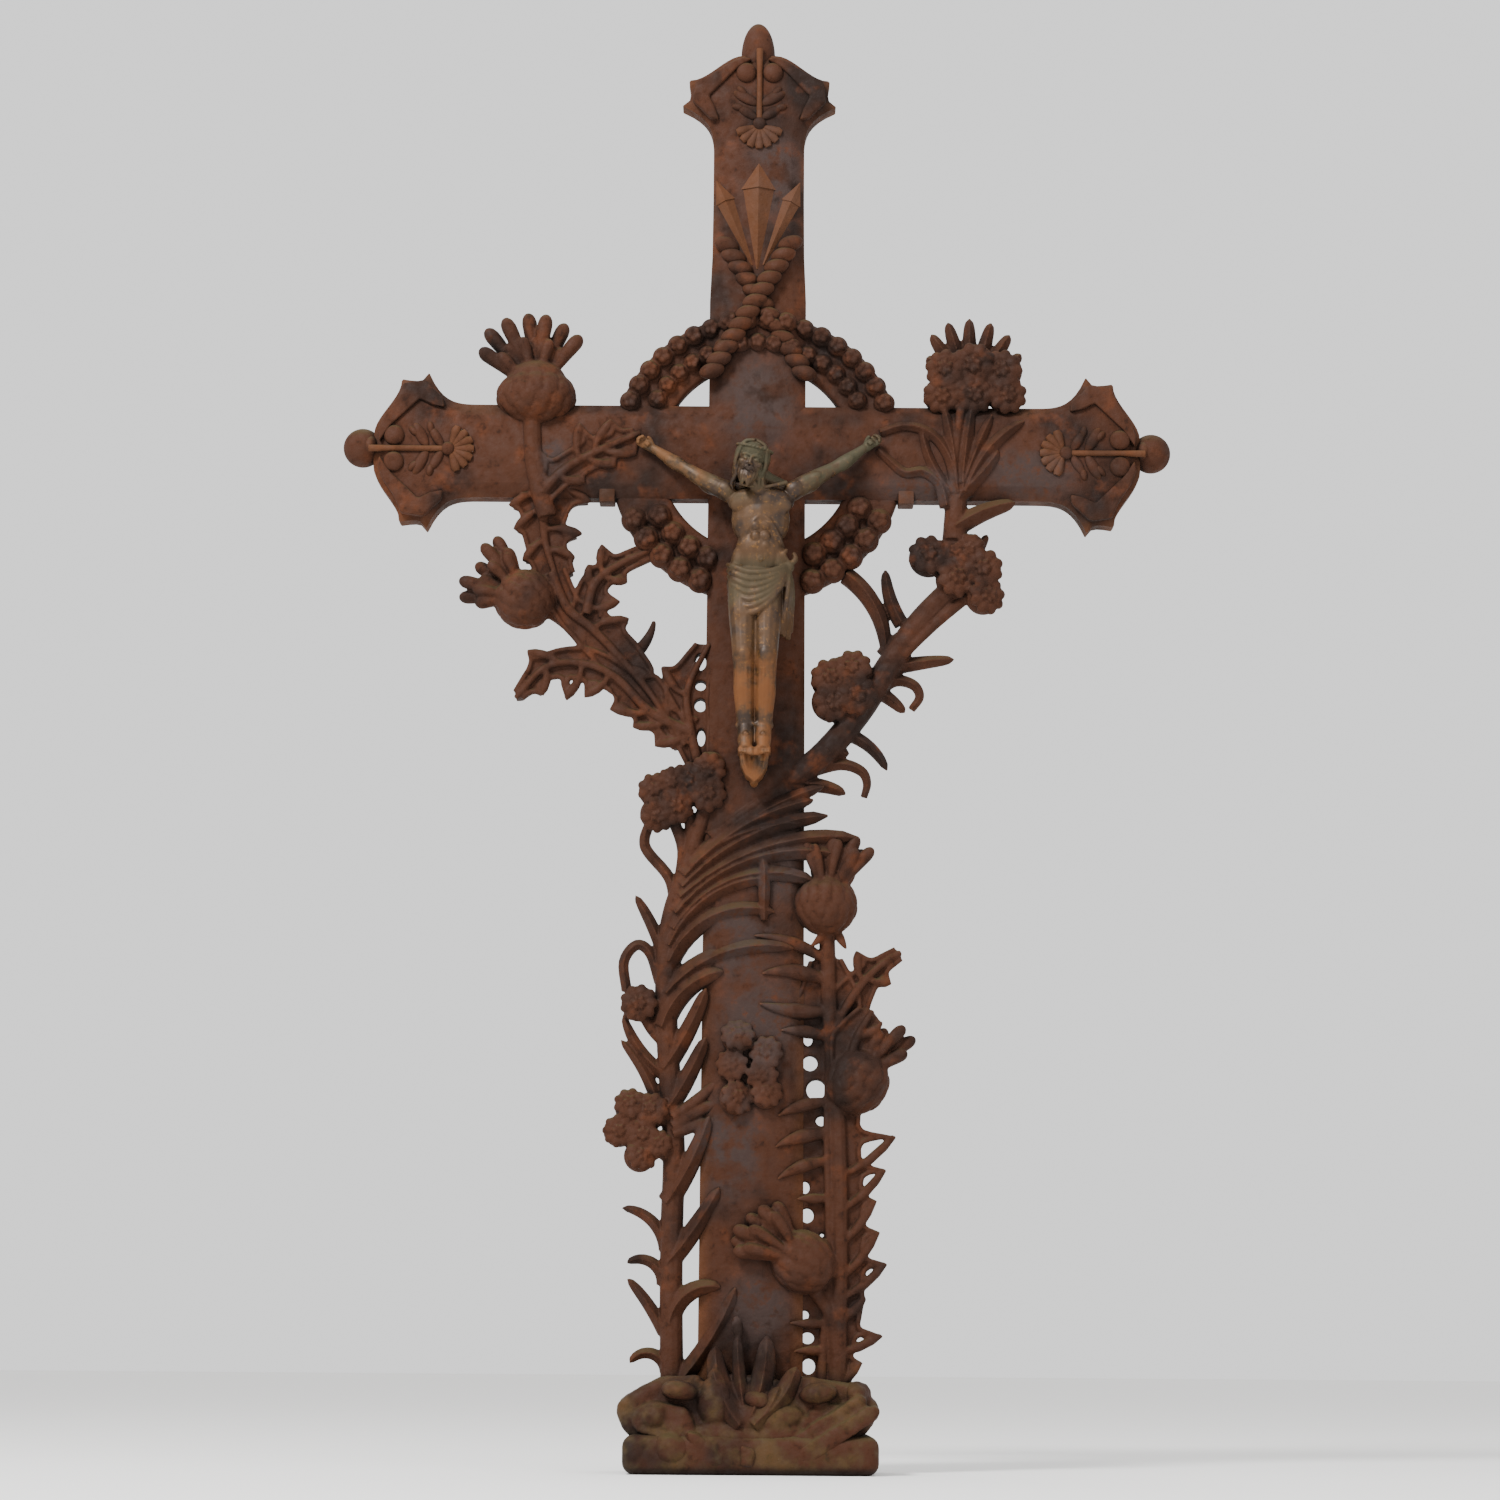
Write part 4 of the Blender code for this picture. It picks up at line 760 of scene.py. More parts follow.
def crown(centre, tips, depth, wide):
    """Finger-like petals, thick and round at the end, from inside a head to each tip, in two layers."""
    lines = []
    for i, tip in enumerate(tips):
        start = Vector(centre) + (Vector(tip) - Vector(centre)) * CROWN_ROOT
        middle = depth + (4.0 if i % 2 else -3.0)
        path = arc(start, tip, 10 if tip[0] > centre[0] else -10, 100)
        line = []
        for share, radius in FINGER:
            p = path[round(100 * share)]
            line.append((p.x, middle - 2.0 * radius, p.y, wide * radius))
        lines.append(line)
    return lines


def shorter_crown(centre, tips, pull, depth, wide):
    """Petals that fill the gaps of a crown, each tip pulled in from between two of the crown's."""
    middles = [(Vector(a) + Vector(b)) / 2 for a, b in zip(tips, tips[1:])]
    return crown(centre, [middle + (Vector(centre) - middle) * pull for middle in middles], depth, wide)


thistle_ball = scaly_ball()
leaves = spiny_leaf(
    "high", [(-200, 934), (-204, 895), (-200, 868), (-190, 838)], (27, 19, 17, 17),
    [(-236, 912), (-231, 889), (-222, 858), (-160, 916), (-168, 884), (-175, 861)],
)
leaves += spiny_leaf(
    "link", [(-162, 806), (-154, 836), (-130, 855), (-98, 870)], (14, 12, 8, 7),
    [(-160, 853), (-147, 873), (-124, 838), (-131, 819)],
)
leaves += spiny_leaf(
    "trunk", [(-196, 846), (-180, 812), (-156, 792), (-130, 765), (-104, 735), (-84, 706), (-66, 680)],
    (13, 13, 19, 20, 15, 13, 10), [(-122, 801), (-101, 745)],
)
leaves += spiny_leaf(
    "low", [(-60, 692), (-100, 712), (-132, 744), (-165, 758), (-200, 754), (-228, 724)],
    (13, 13, 13, 15, 11, 4),
    [(-94, 680), (-115, 698), (-137, 715), (-162, 727), (-180, 724), (-203, 728), (-217, 769)],
)
leaves += spiny_leaf(
    "inner", [(-54, 664), (-62, 700), (-64, 735), (-44, 778)], (10, 19, 20, 10), [(-88, 755)],
    [(-52, 761, 11, 17), (-52, 738, 11, 10), (-52, 719, 12, 13), (-51, 688, 8, 18)],
)
leaves += spiny_leaf(
    "beam", [(-206, 922), (-186, 944), (-156, 962), (-112, 982)], (10, 13, 13, 5),
    [(-212, 966), (-170, 990), (-140, 994), (-165, 934), (-136, 950), (-116, 962)],
    front=FACE - 3.5, back=-14,
)
horn = arc((-130, 760), (-97, 801), -58, 8)
stems = [
    [(p.x, -6, p.y, 7.0 * (1 - 0.7 * (i / 8) ** 2)) for i, p in enumerate(horn)],
    wavy([(-200, 900), (-213, 948), (-217, 1003)], (9.5, 9.5), -17, 6),
    wavy([(-168, 788), (-190, 806), (-214, 818)], (7.0, 7.0), -5, 4),
]
low_tips = [(-239, 868), (-250, 881), (-262, 872), (-268, 854), (-283, 837), (-283, 822), (-267, 815)]
high_tips = [(-268, 1065), (-263, 1087), (-245, 1096), (-223, 1103), (-204, 1100), (-186, 1093), (-171, 1079)]
fingers = crown((-221, 820), low_tips, -12, 6.6) + shorter_crown((-221, 820), low_tips, 0.22, -16, 5.6)
fingers += crown((-213, 1022), high_tips, -8, 7.4) + shorter_crown((-213, 1022), high_tips, 0.3, -12, 6.2)
heads = copies(thistle_ball, [(-221, -13, 820, (27, 24, 27), 56, 0), (-213, -13, 1019, (36, 27, 26), 0, 0)])
heads += [ball("dome", (-213, -12, 1034), (29, 22, 21)), bars("stems", stems, 12),
    bars("fingers", fingers, 12)]
left_thistle = melted("left_thistle", leaves + heads)
dressed("left_thistle", [left_thistle])


# Thistle on the right: one tall stem with a spiny sheet of leaves, pierced along the shaft, and three heads,
# the lowest laid on the face of the shaft.

teeth = [(102, 102), (121, 127), (105, 160), (125, 193), (118, 222), (115, 251), (124, 280), (133, 311)]
openings = [
    (54, 98, 13, 15), (53, 124, 13, 11), (50, 145, 9, 9), (52, 237, 13, 14), (50, 263, 9, 12),
    (66, 219, 5, 4), (73, 203, 6, 9), (65, 325, 11, 10), (54, 379, 15, 15), (60, 354, 19, 20),
    (52, 401, 9, 12), (73, 301, 4, 10),
]
midrib = [(66, 50), (67, 110), (72, 160), (72, 240), (70, 320), (72, 390), (71, 440), (68, 480)]
leaves = spiny_leaf("tall", midrib, (24, 26, 31, 31, 29, 30, 29, 12), teeth, openings)
leaves += spiny_leaf(
    "horned", [(78, 412), (96, 445), (116, 468), (139, 484)], (24, 16, 8, 5), [(129, 455), (98, 484)],
)
leaves += spiny_leaf(
    "sheath", [(92, 372), (96, 398), (112, 428)], (17, 22, 10), [(118, 413)], front=-25, back=-8,
)
SPUR = 7.6
spurs = [
    ((56, 425), (6, 434), 25, 1.2), ((56, 400), (26, 409), -20, 1.0), ((60, 452), (8, 462), -40, 1.2),
    ((62, 470), (0, 498), -35, 1.0), ((56, 310), (22, 300), -30, 1.1), ((56, 285), (24, 270), -30, 1.0),
    ((56, 340), (24, 329), -25, 1.0), ((60, 250), (42, 252), 0, 0.8), ((58, 110), (40, 112), 0, 0.8),
    ((60, 135), (36, 138), 10, 0.8), ((66, 505), (54, 488), 20, 0.7), ((76, 506), (88, 485), -10, 0.7),
]
stems = []
for root, tip, turn, wide in spurs:
    path = arc((max(root[0], 72), root[1] + 3), tip, turn, 10)
    line = []
    for i, p in enumerate(path):
        share = i / 10
        radius = SPUR * wide * min(1.0, 0.45 + 1.1 * share) * (1 - 0.88 * share**2.5)
        line.append((p.x, -13 - 9 * share, p.y, radius))
    stems.append(line)
stems.append(wavy([(80, 70), (82, 200), (80, 320), (72, 430), (69, 510)], (9.5, 7.56), -11.5, 8))
stems.append(wavy([(80, 110), (74, 145), (56, 172)], (6.5, 6.5), -15, 4))
middle_tips = [(104, 580), (98, 592), (88, 596), (76, 598), (62, 596), (48, 588)]
fingers = crown((68, 528), [(112, 581)] + middle_tips, -16, 6.2)
fingers += shorter_crown((68, 528), middle_tips, 0.12, -20, 5.4)
outer_tips = [(120, 408), (125, 411), (142, 413), (152, 403), (144, 389), (112, 402)]
fingers += crown((98, 362), outer_tips, -15, 6.2)
inner_tips = [(-16, 203), (-18, 213), (-16, 224), (-4, 236), (8, 244), (22, 248)]
fingers += crown((48, 194), inner_tips, -24, 7.0) + shorter_crown((48, 194), inner_tips, 0.15, -29, 6.0)
right_heads = copies(thistle_ball, [
    (68, -14, 528, (28, 25, 27), 0, 0), (98, -14, 362, (28, 25, 29), -38, 0),
    (48, -20, 194, (27, 19, 29), 52, 0),
])
right_heads += [bars("stems", stems, 10), bars("fingers", fingers, 12),
    ball("fan", (75, -12, 562), (22, 11, 22), 12)]
right_thistle = melted("right_thistle", leaves + right_heads)
dressed("right_thistle", [right_thistle])
bpy.data.objects.remove(thistle_ball, do_unlink=True)


# Everlasting flowers on the right: a stem that climbs from behind the figure's feet to the beam, with long
# curved leaves and three tight clusters of round flowers with a double ring of small petals.

BLADE = 6.6
FLOWER_VOXEL = 1.15 * MM
PETAL_RINGS = ((9, 650, 360, 270, -400, 28), (6, 230, 170, 125, -580, 6))
PETAL_THICK = 210
HEAD_SPREAD = 1.12
RIDGED = (
    (-1.0, -0.5), (-0.7, -1.0), (0.7, -1.0), (1.0, -0.5), (0.86, 0.1), (0.45, 0.5), (0.12, 0.85),
    (0.0, 1.05), (-0.12, 0.85), (-0.45, 0.5), (-0.86, 0.1),
)


def ridge_section():
    """A leaf's section: a rounded back and a soft ridge along the front."""
    curve = bpy.data.curves.new("ridge", "CURVE")
    curve.dimensions = "2D"
    spline = curve.splines.new("POLY")
    spline.points.add(len(RIDGED) - 1)
    for point, (x, y) in zip(spline.points, RIDGED):
        point.co = (x * MM, y * MM, 0.0, 1.0)
    spline.use_cyclic_u = True
    obj = bpy.data.objects.new("ridge", curve)
    bpy.context.scene.collection.objects.link(obj)
    return obj


def grass(root, tip, turn, wide, depths=(-6.0, -6.0)):
    """A long leaf along an arc: full near the root, drawn in to a blunt tip."""
    path = arc(root, tip, turn, 12)
    line = []
    for i, p in enumerate(path):
        share = i / 12
        radius = BLADE * wide * (1.0 - 0.42 * share**2) * math.sqrt(max(0.03, 1.0 - share**14))
        line.append((p.x, depths[0] + (depths[1] - depths[0]) * share, p.y, radius))
    return line


def everlasting():
    """One flower head of unit radius that faces forward: a cup, two rings of petals and a button."""
    parts = [ball("cup", (0, 200, 0), (890, 700, 890), segments=24, rings=14)]
    for count, reach, half_long, half_wide, depth, droop in PETAL_RINGS:
        for i in range(count):
            angle = 2 * math.pi * i / count
            petal = ball("petal", (0, 0, 0), (1, 1, 1), segments=8, rings=6)
            centre = Vector((reach * math.cos(angle), depth, reach * math.sin(angle)))
            place = Matrix.Translation(centre * MM)
            outward = Matrix.Rotation(-angle, 4, "Y") @ Matrix.Rotation(math.radians(droop), 4, "Z")
            petal.matrix_world = place @ outward @ Matrix.Diagonal((half_long, PETAL_THICK, half_wide, 1))
            parts.append(petal)
    parts.append(ball("button", (0, -560, 0), (130, 130, 130), segments=12, rings=8))
    return joined("everlasting", parts)


def heads_of(model, flowers, middle, relief):
    """Flower heads from (x, z, radius), each a little turned and tipped outward from the cluster's middle."""
    centre = sum((Vector(f[:2]) for f in flowers), Vector((0, 0))) / len(flowers)
    places = []
    for i, (x, z, radius) in enumerate(flowers):
        lean = max(-24, min(24, (z - centre.y) * -0.9))
        size = radius * HEAD_SPREAD
        places.append((x, middle - 0.7 * i, z, (size, size * relief, size), 29 * i, lean))
    return copies(model, places)


ridge = ridge_section()
flower = everlasting()
stems = [
    wavy([(196, 1005), (193, 950), (190, 880)], (6.5, 12.0), -15),
    wavy([(205, 850), (160, 805), (128, 760), (98, 712), (60, 668), (20, 640), (-20, 612)], (12.0, 12.5), -8),
    wavy([(196, 1010), (190, 960), (188, 925)], (4.5, 5.0), -21),
    wavy([(182, 832), (150, 800), (118, 752)], (7.5, 6.0), -12),
    wavy([(214, 836), (172, 800), (140, 768)], (6.0, 5.0), -14),
]
blades = [
    grass(*row) for row in (
        ((86, 848), (124, 768), 60, 1.4), ((140, 800), (124, 853), 30, 1.15),
        ((130, 758), (190, 766), 8, 1.15), ((112, 738), (143, 714), 20, 1.1),
        ((75, 696), (126, 658), 62, 1.05), ((62, 676), (90, 674), 10, 1.1),
        ((28, 640), (87, 635), 50, 1.25), ((0, 618), (56, 628), 30, 1.25),
        ((212, 870), (222, 888), 0, 0.8), ((120, 770), (152, 800), 15, 0.9),
        ((60, 668), (100, 700), -20, 0.9),
    )
]
blades += [
    grass(root, tip, turn, wide, (-19, -21)) for root, tip, turn, wide in (
        ((192, 930), (180, 1008), -12, 1.3), ((197, 935), (206, 1008), 6, 1.4),
        ((200, 925), (257, 997), 46, 1.3), ((196, 925), (232, 968), -18, 1.3),
        ((190, 892), (248, 916), 28, 1.5), ((194, 920), (226, 1003), 10, 1.2),
        ((188, 925), (158, 992), 40, 1.0),
    )
]
blades.append(wavy([(105, 722), (130, 744), (150, 742), (157, 730), (149, 717)], (6.8, 3.8), -6))
blades.append(wavy([(45, 655), (80, 664), (101, 658), (107, 646), (104, 632)], (6.8, 3.4), -6))
blades.append(wavy([(193, 925), (184, 962), (166, 984), (142, 991), (118, 984)], (7.0, 4.6), -21))
blades.append(wavy([(182, 912), (176, 934), (160, 946), (142, 945), (128, 956), (116, 968)], (7.0, 4.4), -21))
for root, tip in (
    ((178, 1055), (163, 1062)), ((188, 1055), (168, 1086)), ((195, 1060), (184, 1098)),
    ((205, 1060), (205, 1102)), ((216, 1060), (226, 1098)), ((226, 1058), (244, 1086)),
    ((236, 1048), (255, 1067)),
):
    blades.append(grass(root, tip, 0, 1.15, (-7, -6)))
stalks = [bars("stems", stems, 12), bars("blades", blades, section=ridge)]
flowers = heads_of(flower, [
    (178, 1023, 18), (208, 1024, 19), (240, 1023, 18), (182, 1047, 19), (236, 1047, 19), (209, 1053, 20),
], -14, 0.9)
flowers += heads_of(flower, [
    (165, 864, 19), (192, 868, 16), (216, 852, 19), (218, 826, 18), (191, 842, 19), (205, 872, 14),
], -14, 0.9)
flowers += heads_of(flower, [
    (72, 744, 19), (93, 753, 18), (73, 722, 19), (96, 728, 19), (84, 738, 15),
], -14, 0.9)
right_everlasting = melted("right_everlasting", stalks + flowers, FLOWER_VOXEL, 1)
dressed("right_everlasting", [right_everlasting])


# Everlasting flowers on the left: a tall stem with paired leaves, a loop and a wave, two clusters and a
# single flower beside the shaft, a cluster on its face, and long leaves that arch over the shaft.

stems = [
    wavy([(-72, 60), (-74, 160), (-74, 230), (-73, 300), (-80, 400), (-82, 470), (-76, 520), (-62, 560)],
        (11, 10), -7),
    wavy([(-71, 541), (-67, 580), (-78, 612)], (6.5, 5.5), -7),
    wavy([(-68, 541), (-60, 580), (-62, 616)], (6.0, 5.0), -9),
    wavy([(-71, 523), (-59, 577), (-44, 626)], (8.5, 8.0), -10),
    wavy([(-80, 395), (-95, 410), (-106, 428)], (6.0, 4.5), -8),
    wavy([(-74, 290), (-90, 300), (-104, 308)], (8.0, 6.0), -8),
    wavy([(-74, 318), (-48, 334), (-20, 345)], (7.5, 5.0), -14),
    wavy([(-74, 326), (-44, 350), (-18, 372)], (6.0, 4.5), -15),
    wavy([(-74, 312), (-44, 322), (-16, 330)], (6.0, 4.0), -15),
    wavy([(-40, 590), (0, 622), (40, 652), (70, 676)], (9.0, 9.0), -12),
]
blades = [
    grass(*row) for row in (
        ((-78, 92), (-112, 100), -150, 0.95), ((-80, 128), (-115, 178), -18, 1.0),
        ((-82, 172), (-116, 192), -130, 0.95), ((-80, 204), (-121, 243), -84, 0.95),
        ((-88, 338), (-124, 400), -30, 1.0), ((-84, 480), (-112, 537), -14, 1.0),
        ((-80, 366), (-122, 424), 40, 1.0),
    )
]
blades += [
    grass((root[0] - 9, root[1] - 12), tip, turn, 1.3 * wide, (-9, -22)) for root, tip, turn, wide in (
        ((-66, 85), (-14, 170), -25, 1.15), ((-66, 150), (-28, 170), 95, 1.15),
        ((-68, 205), (-30, 262), -14, 1.15), ((-70, 260), (-40, 328), -18, 1.2),
        ((-72, 345), (-44, 402), -16, 1.1), ((-74, 385), (-44, 448), -18, 1.1),
        ((-76, 425), (-28, 464), 65, 1.35),
    )
]
blades.append(wavy([(-88, 455), (-97, 482), (-110, 490), (-122, 474), (-119, 446)], (5.4, 5.0), -6))
blades.append(wavy([(-74, 528), (-80, 554), (-100, 578), (-104, 590), (-100, 604)], (5.8, 5.0), -6))
ARCHES = (
    ((-72, 470), (38, 486), 62, 1.25), ((-70, 500), (20, 520), 85, 1.2), ((-70, 515), (20, 552), 70, 1.2),
    ((-66, 530), (60, 548), 84, 1.35), ((-64, 545), (84, 574), 66, 1.4), ((-60, 560), (99, 591), 48, 1.4),
    ((-58, 570), (70, 612), 44, 1.3), ((-56, 580), (56, 627), 38, 1.3), ((-50, 590), (48, 604), 45, 1.2),
    ((-40, 596), (66, 640), 30, 1.1),
)
for i, (root, tip, turn, wide) in enumerate(ARCHES):
    blades.append(grass((root[0] - 9, root[1] - 26), tip, turn, 1.3 * wide, (-10 - 0.6 * i, -23)))
blades.append([(9, -23, 568, 4.0), (10, -25, 560, 6.0), (10, -25, 536, 6.2), (10, -23, 512, 3.6)])
stalks = [bars("stems", stems, 12), bars("blades", blades, section=ridge)]
flowers = heads_of(flower, [
    (-94, 636, 16), (-92, 613, 16), (-75, 621, 17), (-62, 645, 17), (-44, 632, 17), (-42, 657, 16),
    (-78, 644, 14),
], -14, 0.9)
flowers += heads_of(flower, [(-107, 434, 17)], -11, 0.8)
flowers += heads_of(flower, [
    (-114, 338, 15), (-94, 333, 16), (-124, 314, 15), (-102, 311, 15), (-104, 291, 15), (-88, 302, 13),
], -13, 0.9)
flowers += heads_of(flower, [
    (-14, 403, 16), (13, 387, 16), (-19, 376, 15), (9, 366, 15), (-15, 345, 16), (13, 350, 15),
], -20, 0.65)
left_everlasting = melted("left_everlasting", stalks + flowers, FLOWER_VOXEL, 1)
dressed("left_everlasting", [left_everlasting])
bpy.data.objects.remove(flower, do_unlink=True)


# Rocky foot: a rolled plinth with rounded edges, a heap of broken stones with flat slabs that lean across the
# front, a pebble, and an iris with five broad leaves. Cast in one with the shaft.

PLINTH_CENTRE = (0.75, 0, 18)
PLINTH_SIZE = (234, 145, 36)
ROCK_VOXEL = 1.7 * MM


def roughened(obj, depth_mm, size_mm):
    """Real unevenness: each point moved along its normal by noise of two sizes."""
    normals = [v.normal.copy() for v in obj.data.vertices]
    for vertex, normal in zip(obj.data.vertices, normals):
        broad = noise.noise(vertex.co * (1 / (size_mm * MM)))
        fine = noise.noise(vertex.co * (3.1 / (size_mm * MM)))
        vertex.co += normal * depth_mm * MM * (broad + 0.45 * fine)
    return obj


def stone(name, outline, front, back, edge=5.0, lean=0.0):
    """A slab of rock with broken edges, between two depths, its top leaning back by so many millimetres."""
    obj = rounded(sheet(name, [outline], front, back), edge, 2)
    low = min(z for x, z in outline)
    high = max(z for x, z in outline)
    for vertex in obj.data.vertices:
        vertex.co.y += lean * MM * (vertex.co.z / MM - low) / (high - low)
    return obj


plinth = block(PLINTH_CENTRE, PLINTH_SIZE, 11, 5)
rocks = [
    stone("left", [(-98, 26), (-117, 41), (-124, 62), (-112, 72), (-84, 87), (-46, 90), (-32, 66),
        (-34, 26)], -58, 54, 6, 9),
    stone("left_shelf", [(-70, 30), (-104, 38), (-110, 56), (-92, 66), (-58, 62), (-46, 34)], -67, 10, 6, 7),
    stone("right", [(30, 26), (98, 30), (113, 46), (120, 62), (110, 72), (88, 83), (46, 90), (22, 70)],
        -57, 52, 6, 9),
    stone("right_shelf", [(46, 28), (92, 32), (106, 48), (96, 64), (62, 66), (44, 50)], -64, 20, 6, 8),
    stone("middle", [(-42, 26), (-42, 74), (-18, 92), (28, 86), (42, 60), (38, 26)], -50, 58, 6, 8),
    stone("back_low", [(-92, 28), (-84, 62), (-30, 74), (40, 70), (84, 58), (94, 28)], 10, 64, 8, 0),
    stone("slab_right", [(42, 13), (52, 9), (58, 12), (114, 50), (119, 58), (115, 64), (106, 62),
        (44, 24)], -73, -42, 4),
    stone("slab_upper", [(36, 26), (42, 20), (104, 60), (108, 70), (100, 74), (40, 36)], -68, -38, 4),
    stone("slab_left", [(-37, 8), (-58, 32), (-57, 40), (-48, 38), (-22, 18), (-24, 8)], -73, -42, 4),
    stone("root", [(-9, 8), (3, 8), (5, 24), (-8, 27)], -75, -50, 3),
    ball("knob", (98, -32, 73), (13, 30, 12)), ball("boulder", (-31, -50, 63), (17, 18, 26), 7),
    ball("low", (18, -50, 48), (34, 18, 16), 10), ball("below", (0, -54, 34), (64, 15, 17)),
    ball("pebble", (-72, -67, 23), (17, 11, 14), -15),
    ball("chip", (8, -56, 66), (14, 12, 9), -20), ball("chip", (62, -52, 74), (18, 16, 9), 8),
    ball("chip", (-64, -56, 76), (17, 16, 9), -6), ball("chip", (-88, -60, 52), (13, 10, 10), 12),
]
rocks = roughened(melted("rocks", rocks, ROCK_VOXEL, 1), 1.5, 17)
leaves = [grass(*row) for row in (
    ((-9, 50), (-32, 116), 45, 1.9, (-57, -31)), ((-7, 46), (-34, 96), 38, 1.9, (-60, -47)),
    ((-4, 52), (-12, 128), 12, 1.1, (-57, -30)), ((0, 50), (15, 126), -24, 1.9, (-57, -29)),
    ((4, 48), (42, 98), -48, 2.0, (-60, -44)), ((2, 44), (26, 80), -34, 1.6, (-64, -56)),
    ((-8, 44), (-26, 74), 28, 1.5, (-64, -57)),
)]
iris = [bars("iris", leaves, section=ridge), ball("bud", (-12, -29, 133), (5.5, 5, 11), 8)]
iris.append(ball("iris_root", (-1, -56, 48), (17, 12, 16)))
iris = melted("iris_leaves", iris)
bpy.data.objects.remove(ridge, do_unlink=True)
dressed("rocky_foot", [plinth, rocks, iris], sharp=55.0)


# Figure: a separate casting in bronze under an old patina, laid on the face of the cross: a lean man with the
# head sunk to one side, a folded cloth knotted at the hip, the feet side by side on a plain bracket.

FIGURE_GAP = 0.4
BODY_VOXEL = 0.9 * MM
HEAD_VOXEL = 0.62 * MM
BRONZE = "452E17"
BRONZE_DARK = "2A1C11"
BRONZE_WORN = "744F22"
PATINA = "3B3C2B"
RUST_STAIN = "70421D"
FINGER_REACH = (16.6, 18.0, 17.6, 16.0)
LEG_AXIS = -0.5


def patinated_bronze():
    material, tree, shader, where = blank_material("patinated cast bronze")
    normal = add_node(tree, "ShaderNodeNewGeometry").outputs["Normal"]
    up = add_node(tree, "ShaderNodeSeparateXYZ", links={"Vector": normal}).outputs["Z"]
    place = add_node(tree, "ShaderNodeSeparateXYZ", links={"Vector": where})
    clouds, grains = grain(tree, where, 14), grain(tree, where, 2.4, 4.0)
    colour = painted(tree, BRONZE_DARK, BRONZE, steps_of(tree, clouds, 0.32, 0.52))
    colour = painted(tree, colour, BRONZE_WORN, steps_of(tree, grains, 0.54, 0.72, 0.0, 0.55))
    high = steps_of(tree, place.outputs["Z"], 0.895, 0.935, 0.0, 0.75)
    cloth = product(
        tree, steps_of(tree, place.outputs["Z"], 0.800, 0.812, 0.0, 0.45),
        steps_of(tree, place.outputs["Z"], 0.845, 0.860, 1.0, 0.0),
    )
    ledges = steps_of(tree, up, 0.55, 1.0, 0.0, 0.5)
    green = largest(tree, [high, cloth, ledges])
    colour = painted(tree, colour, PATINA, product(tree, green, steps_of(tree, clouds, 0.36, 0.6)))
    shins = steps_of(tree, place.outputs["Z"], 0.735, 0.775, 0.7, 0.0)
    arm = steps_of(tree, place.outputs["X"], -0.060, -0.035, 0.6, 0.0)
    stained = product(tree, largest(tree, [shins, arm]), steps_of(tree, clouds, 0.40, 0.58))
    colour = painted(tree, colour, RUST_STAIN, stained)
    # Painted shade: the bronze darkened in its hollows and creases.
    colour = painted_hollow_shade(tree, colour, 5, 0.2, 0.75, 0.7)
    tree.links.new(colour, shader.inputs["Base Color"])
    tree.links.new(steps_of(tree, clouds, 0.35, 0.65, 0.5, 0.78), shader.inputs["Roughness"])
    shader.inputs["Metallic"].default_value = 0.45
    tree.links.new(bumped(tree, grains, 0.4, 0.3), shader.inputs["Normal"])
    return material


def at(x, forward, z):
    """A point of the figure, counted forward from the face of the cross."""
    return (x, FACE - FIGURE_GAP - forward, z)


def limb(*points, steps=4):
    """A bar's line through points of (x, forward, z, radius)."""
    path = through(points, steps)
    return [(*at(p[0], p[1], p[2]), p[3]) for p in path]


def sided(middle, side, *points):
    """A limb whose points are counted outward from a middle, to one side."""
    return limb(*[(middle + side * x, *rest) for x, *rest in points])


def lumps(rows):
    """Balls of the figure, from (name, x, forward, z, three radii, turn)."""
    return [ball(name, at(x, forward, z), radii, turn) for name, x, forward, z, *radii, turn in rows]


def square_nail(x, z, half, start, stop, end):
    """A nail that points forward: its shank between two depths, and its head in front."""
    shank = [(*at(x, start, z), half), (*at(x, stop, z), half)]
    head = [(*at(x, stop - 0.4, z), 3.6), (*at(x, end, z), 2.6)]
    return bars("nail", [shank, head], 4)


def hand(wrist, heading, side):
    """A palm with four bent fingers and a thumb, and the square nail through it."""
    turn = math.radians(heading)
    along_hand = Vector((math.cos(turn), math.sin(turn)))
    across = Vector((-math.sin(turn), math.cos(turn))) * side

    def spot(ahead, up, forward, radius):
        flat = Vector(wrist) + along_hand * ahead + across * up
        return (flat.x, forward, flat.y, radius)

    palm = ((-3, 0, 8.5, 4.0), (3, 0.2, 7.5, 4.6), (8, 0.6, 7.0, 5.0), (11, 0.8, 7.0, 4.2))
    lines = [limb(*[spot(*point) for point in palm])]
    for i, reach in enumerate(FINGER_REACH):
        up = -3.2 + 2.5 * i
        lines.append(limb(
            spot(10, up * 0.9, 7.0, 1.9), spot(reach - 2.5, up, 7.6, 1.75), spot(reach, up + 0.3, 10.0, 1.6),
            spot(reach - 2.2, up + 0.3, 12.4, 1.3),
        ))
    lines.append(limb(spot(4, 3.6, 8.0, 2.3), spot(8, 6.2, 9.8, 1.9), spot(11, 6.4, 11.6, 1.5)))
    x, forward, z, radius = spot(7, 0.4, 0, 0)
    return [bars("hand", lines, 10), square_nail(x, z, 1.7, 8, 13, 15.0)]


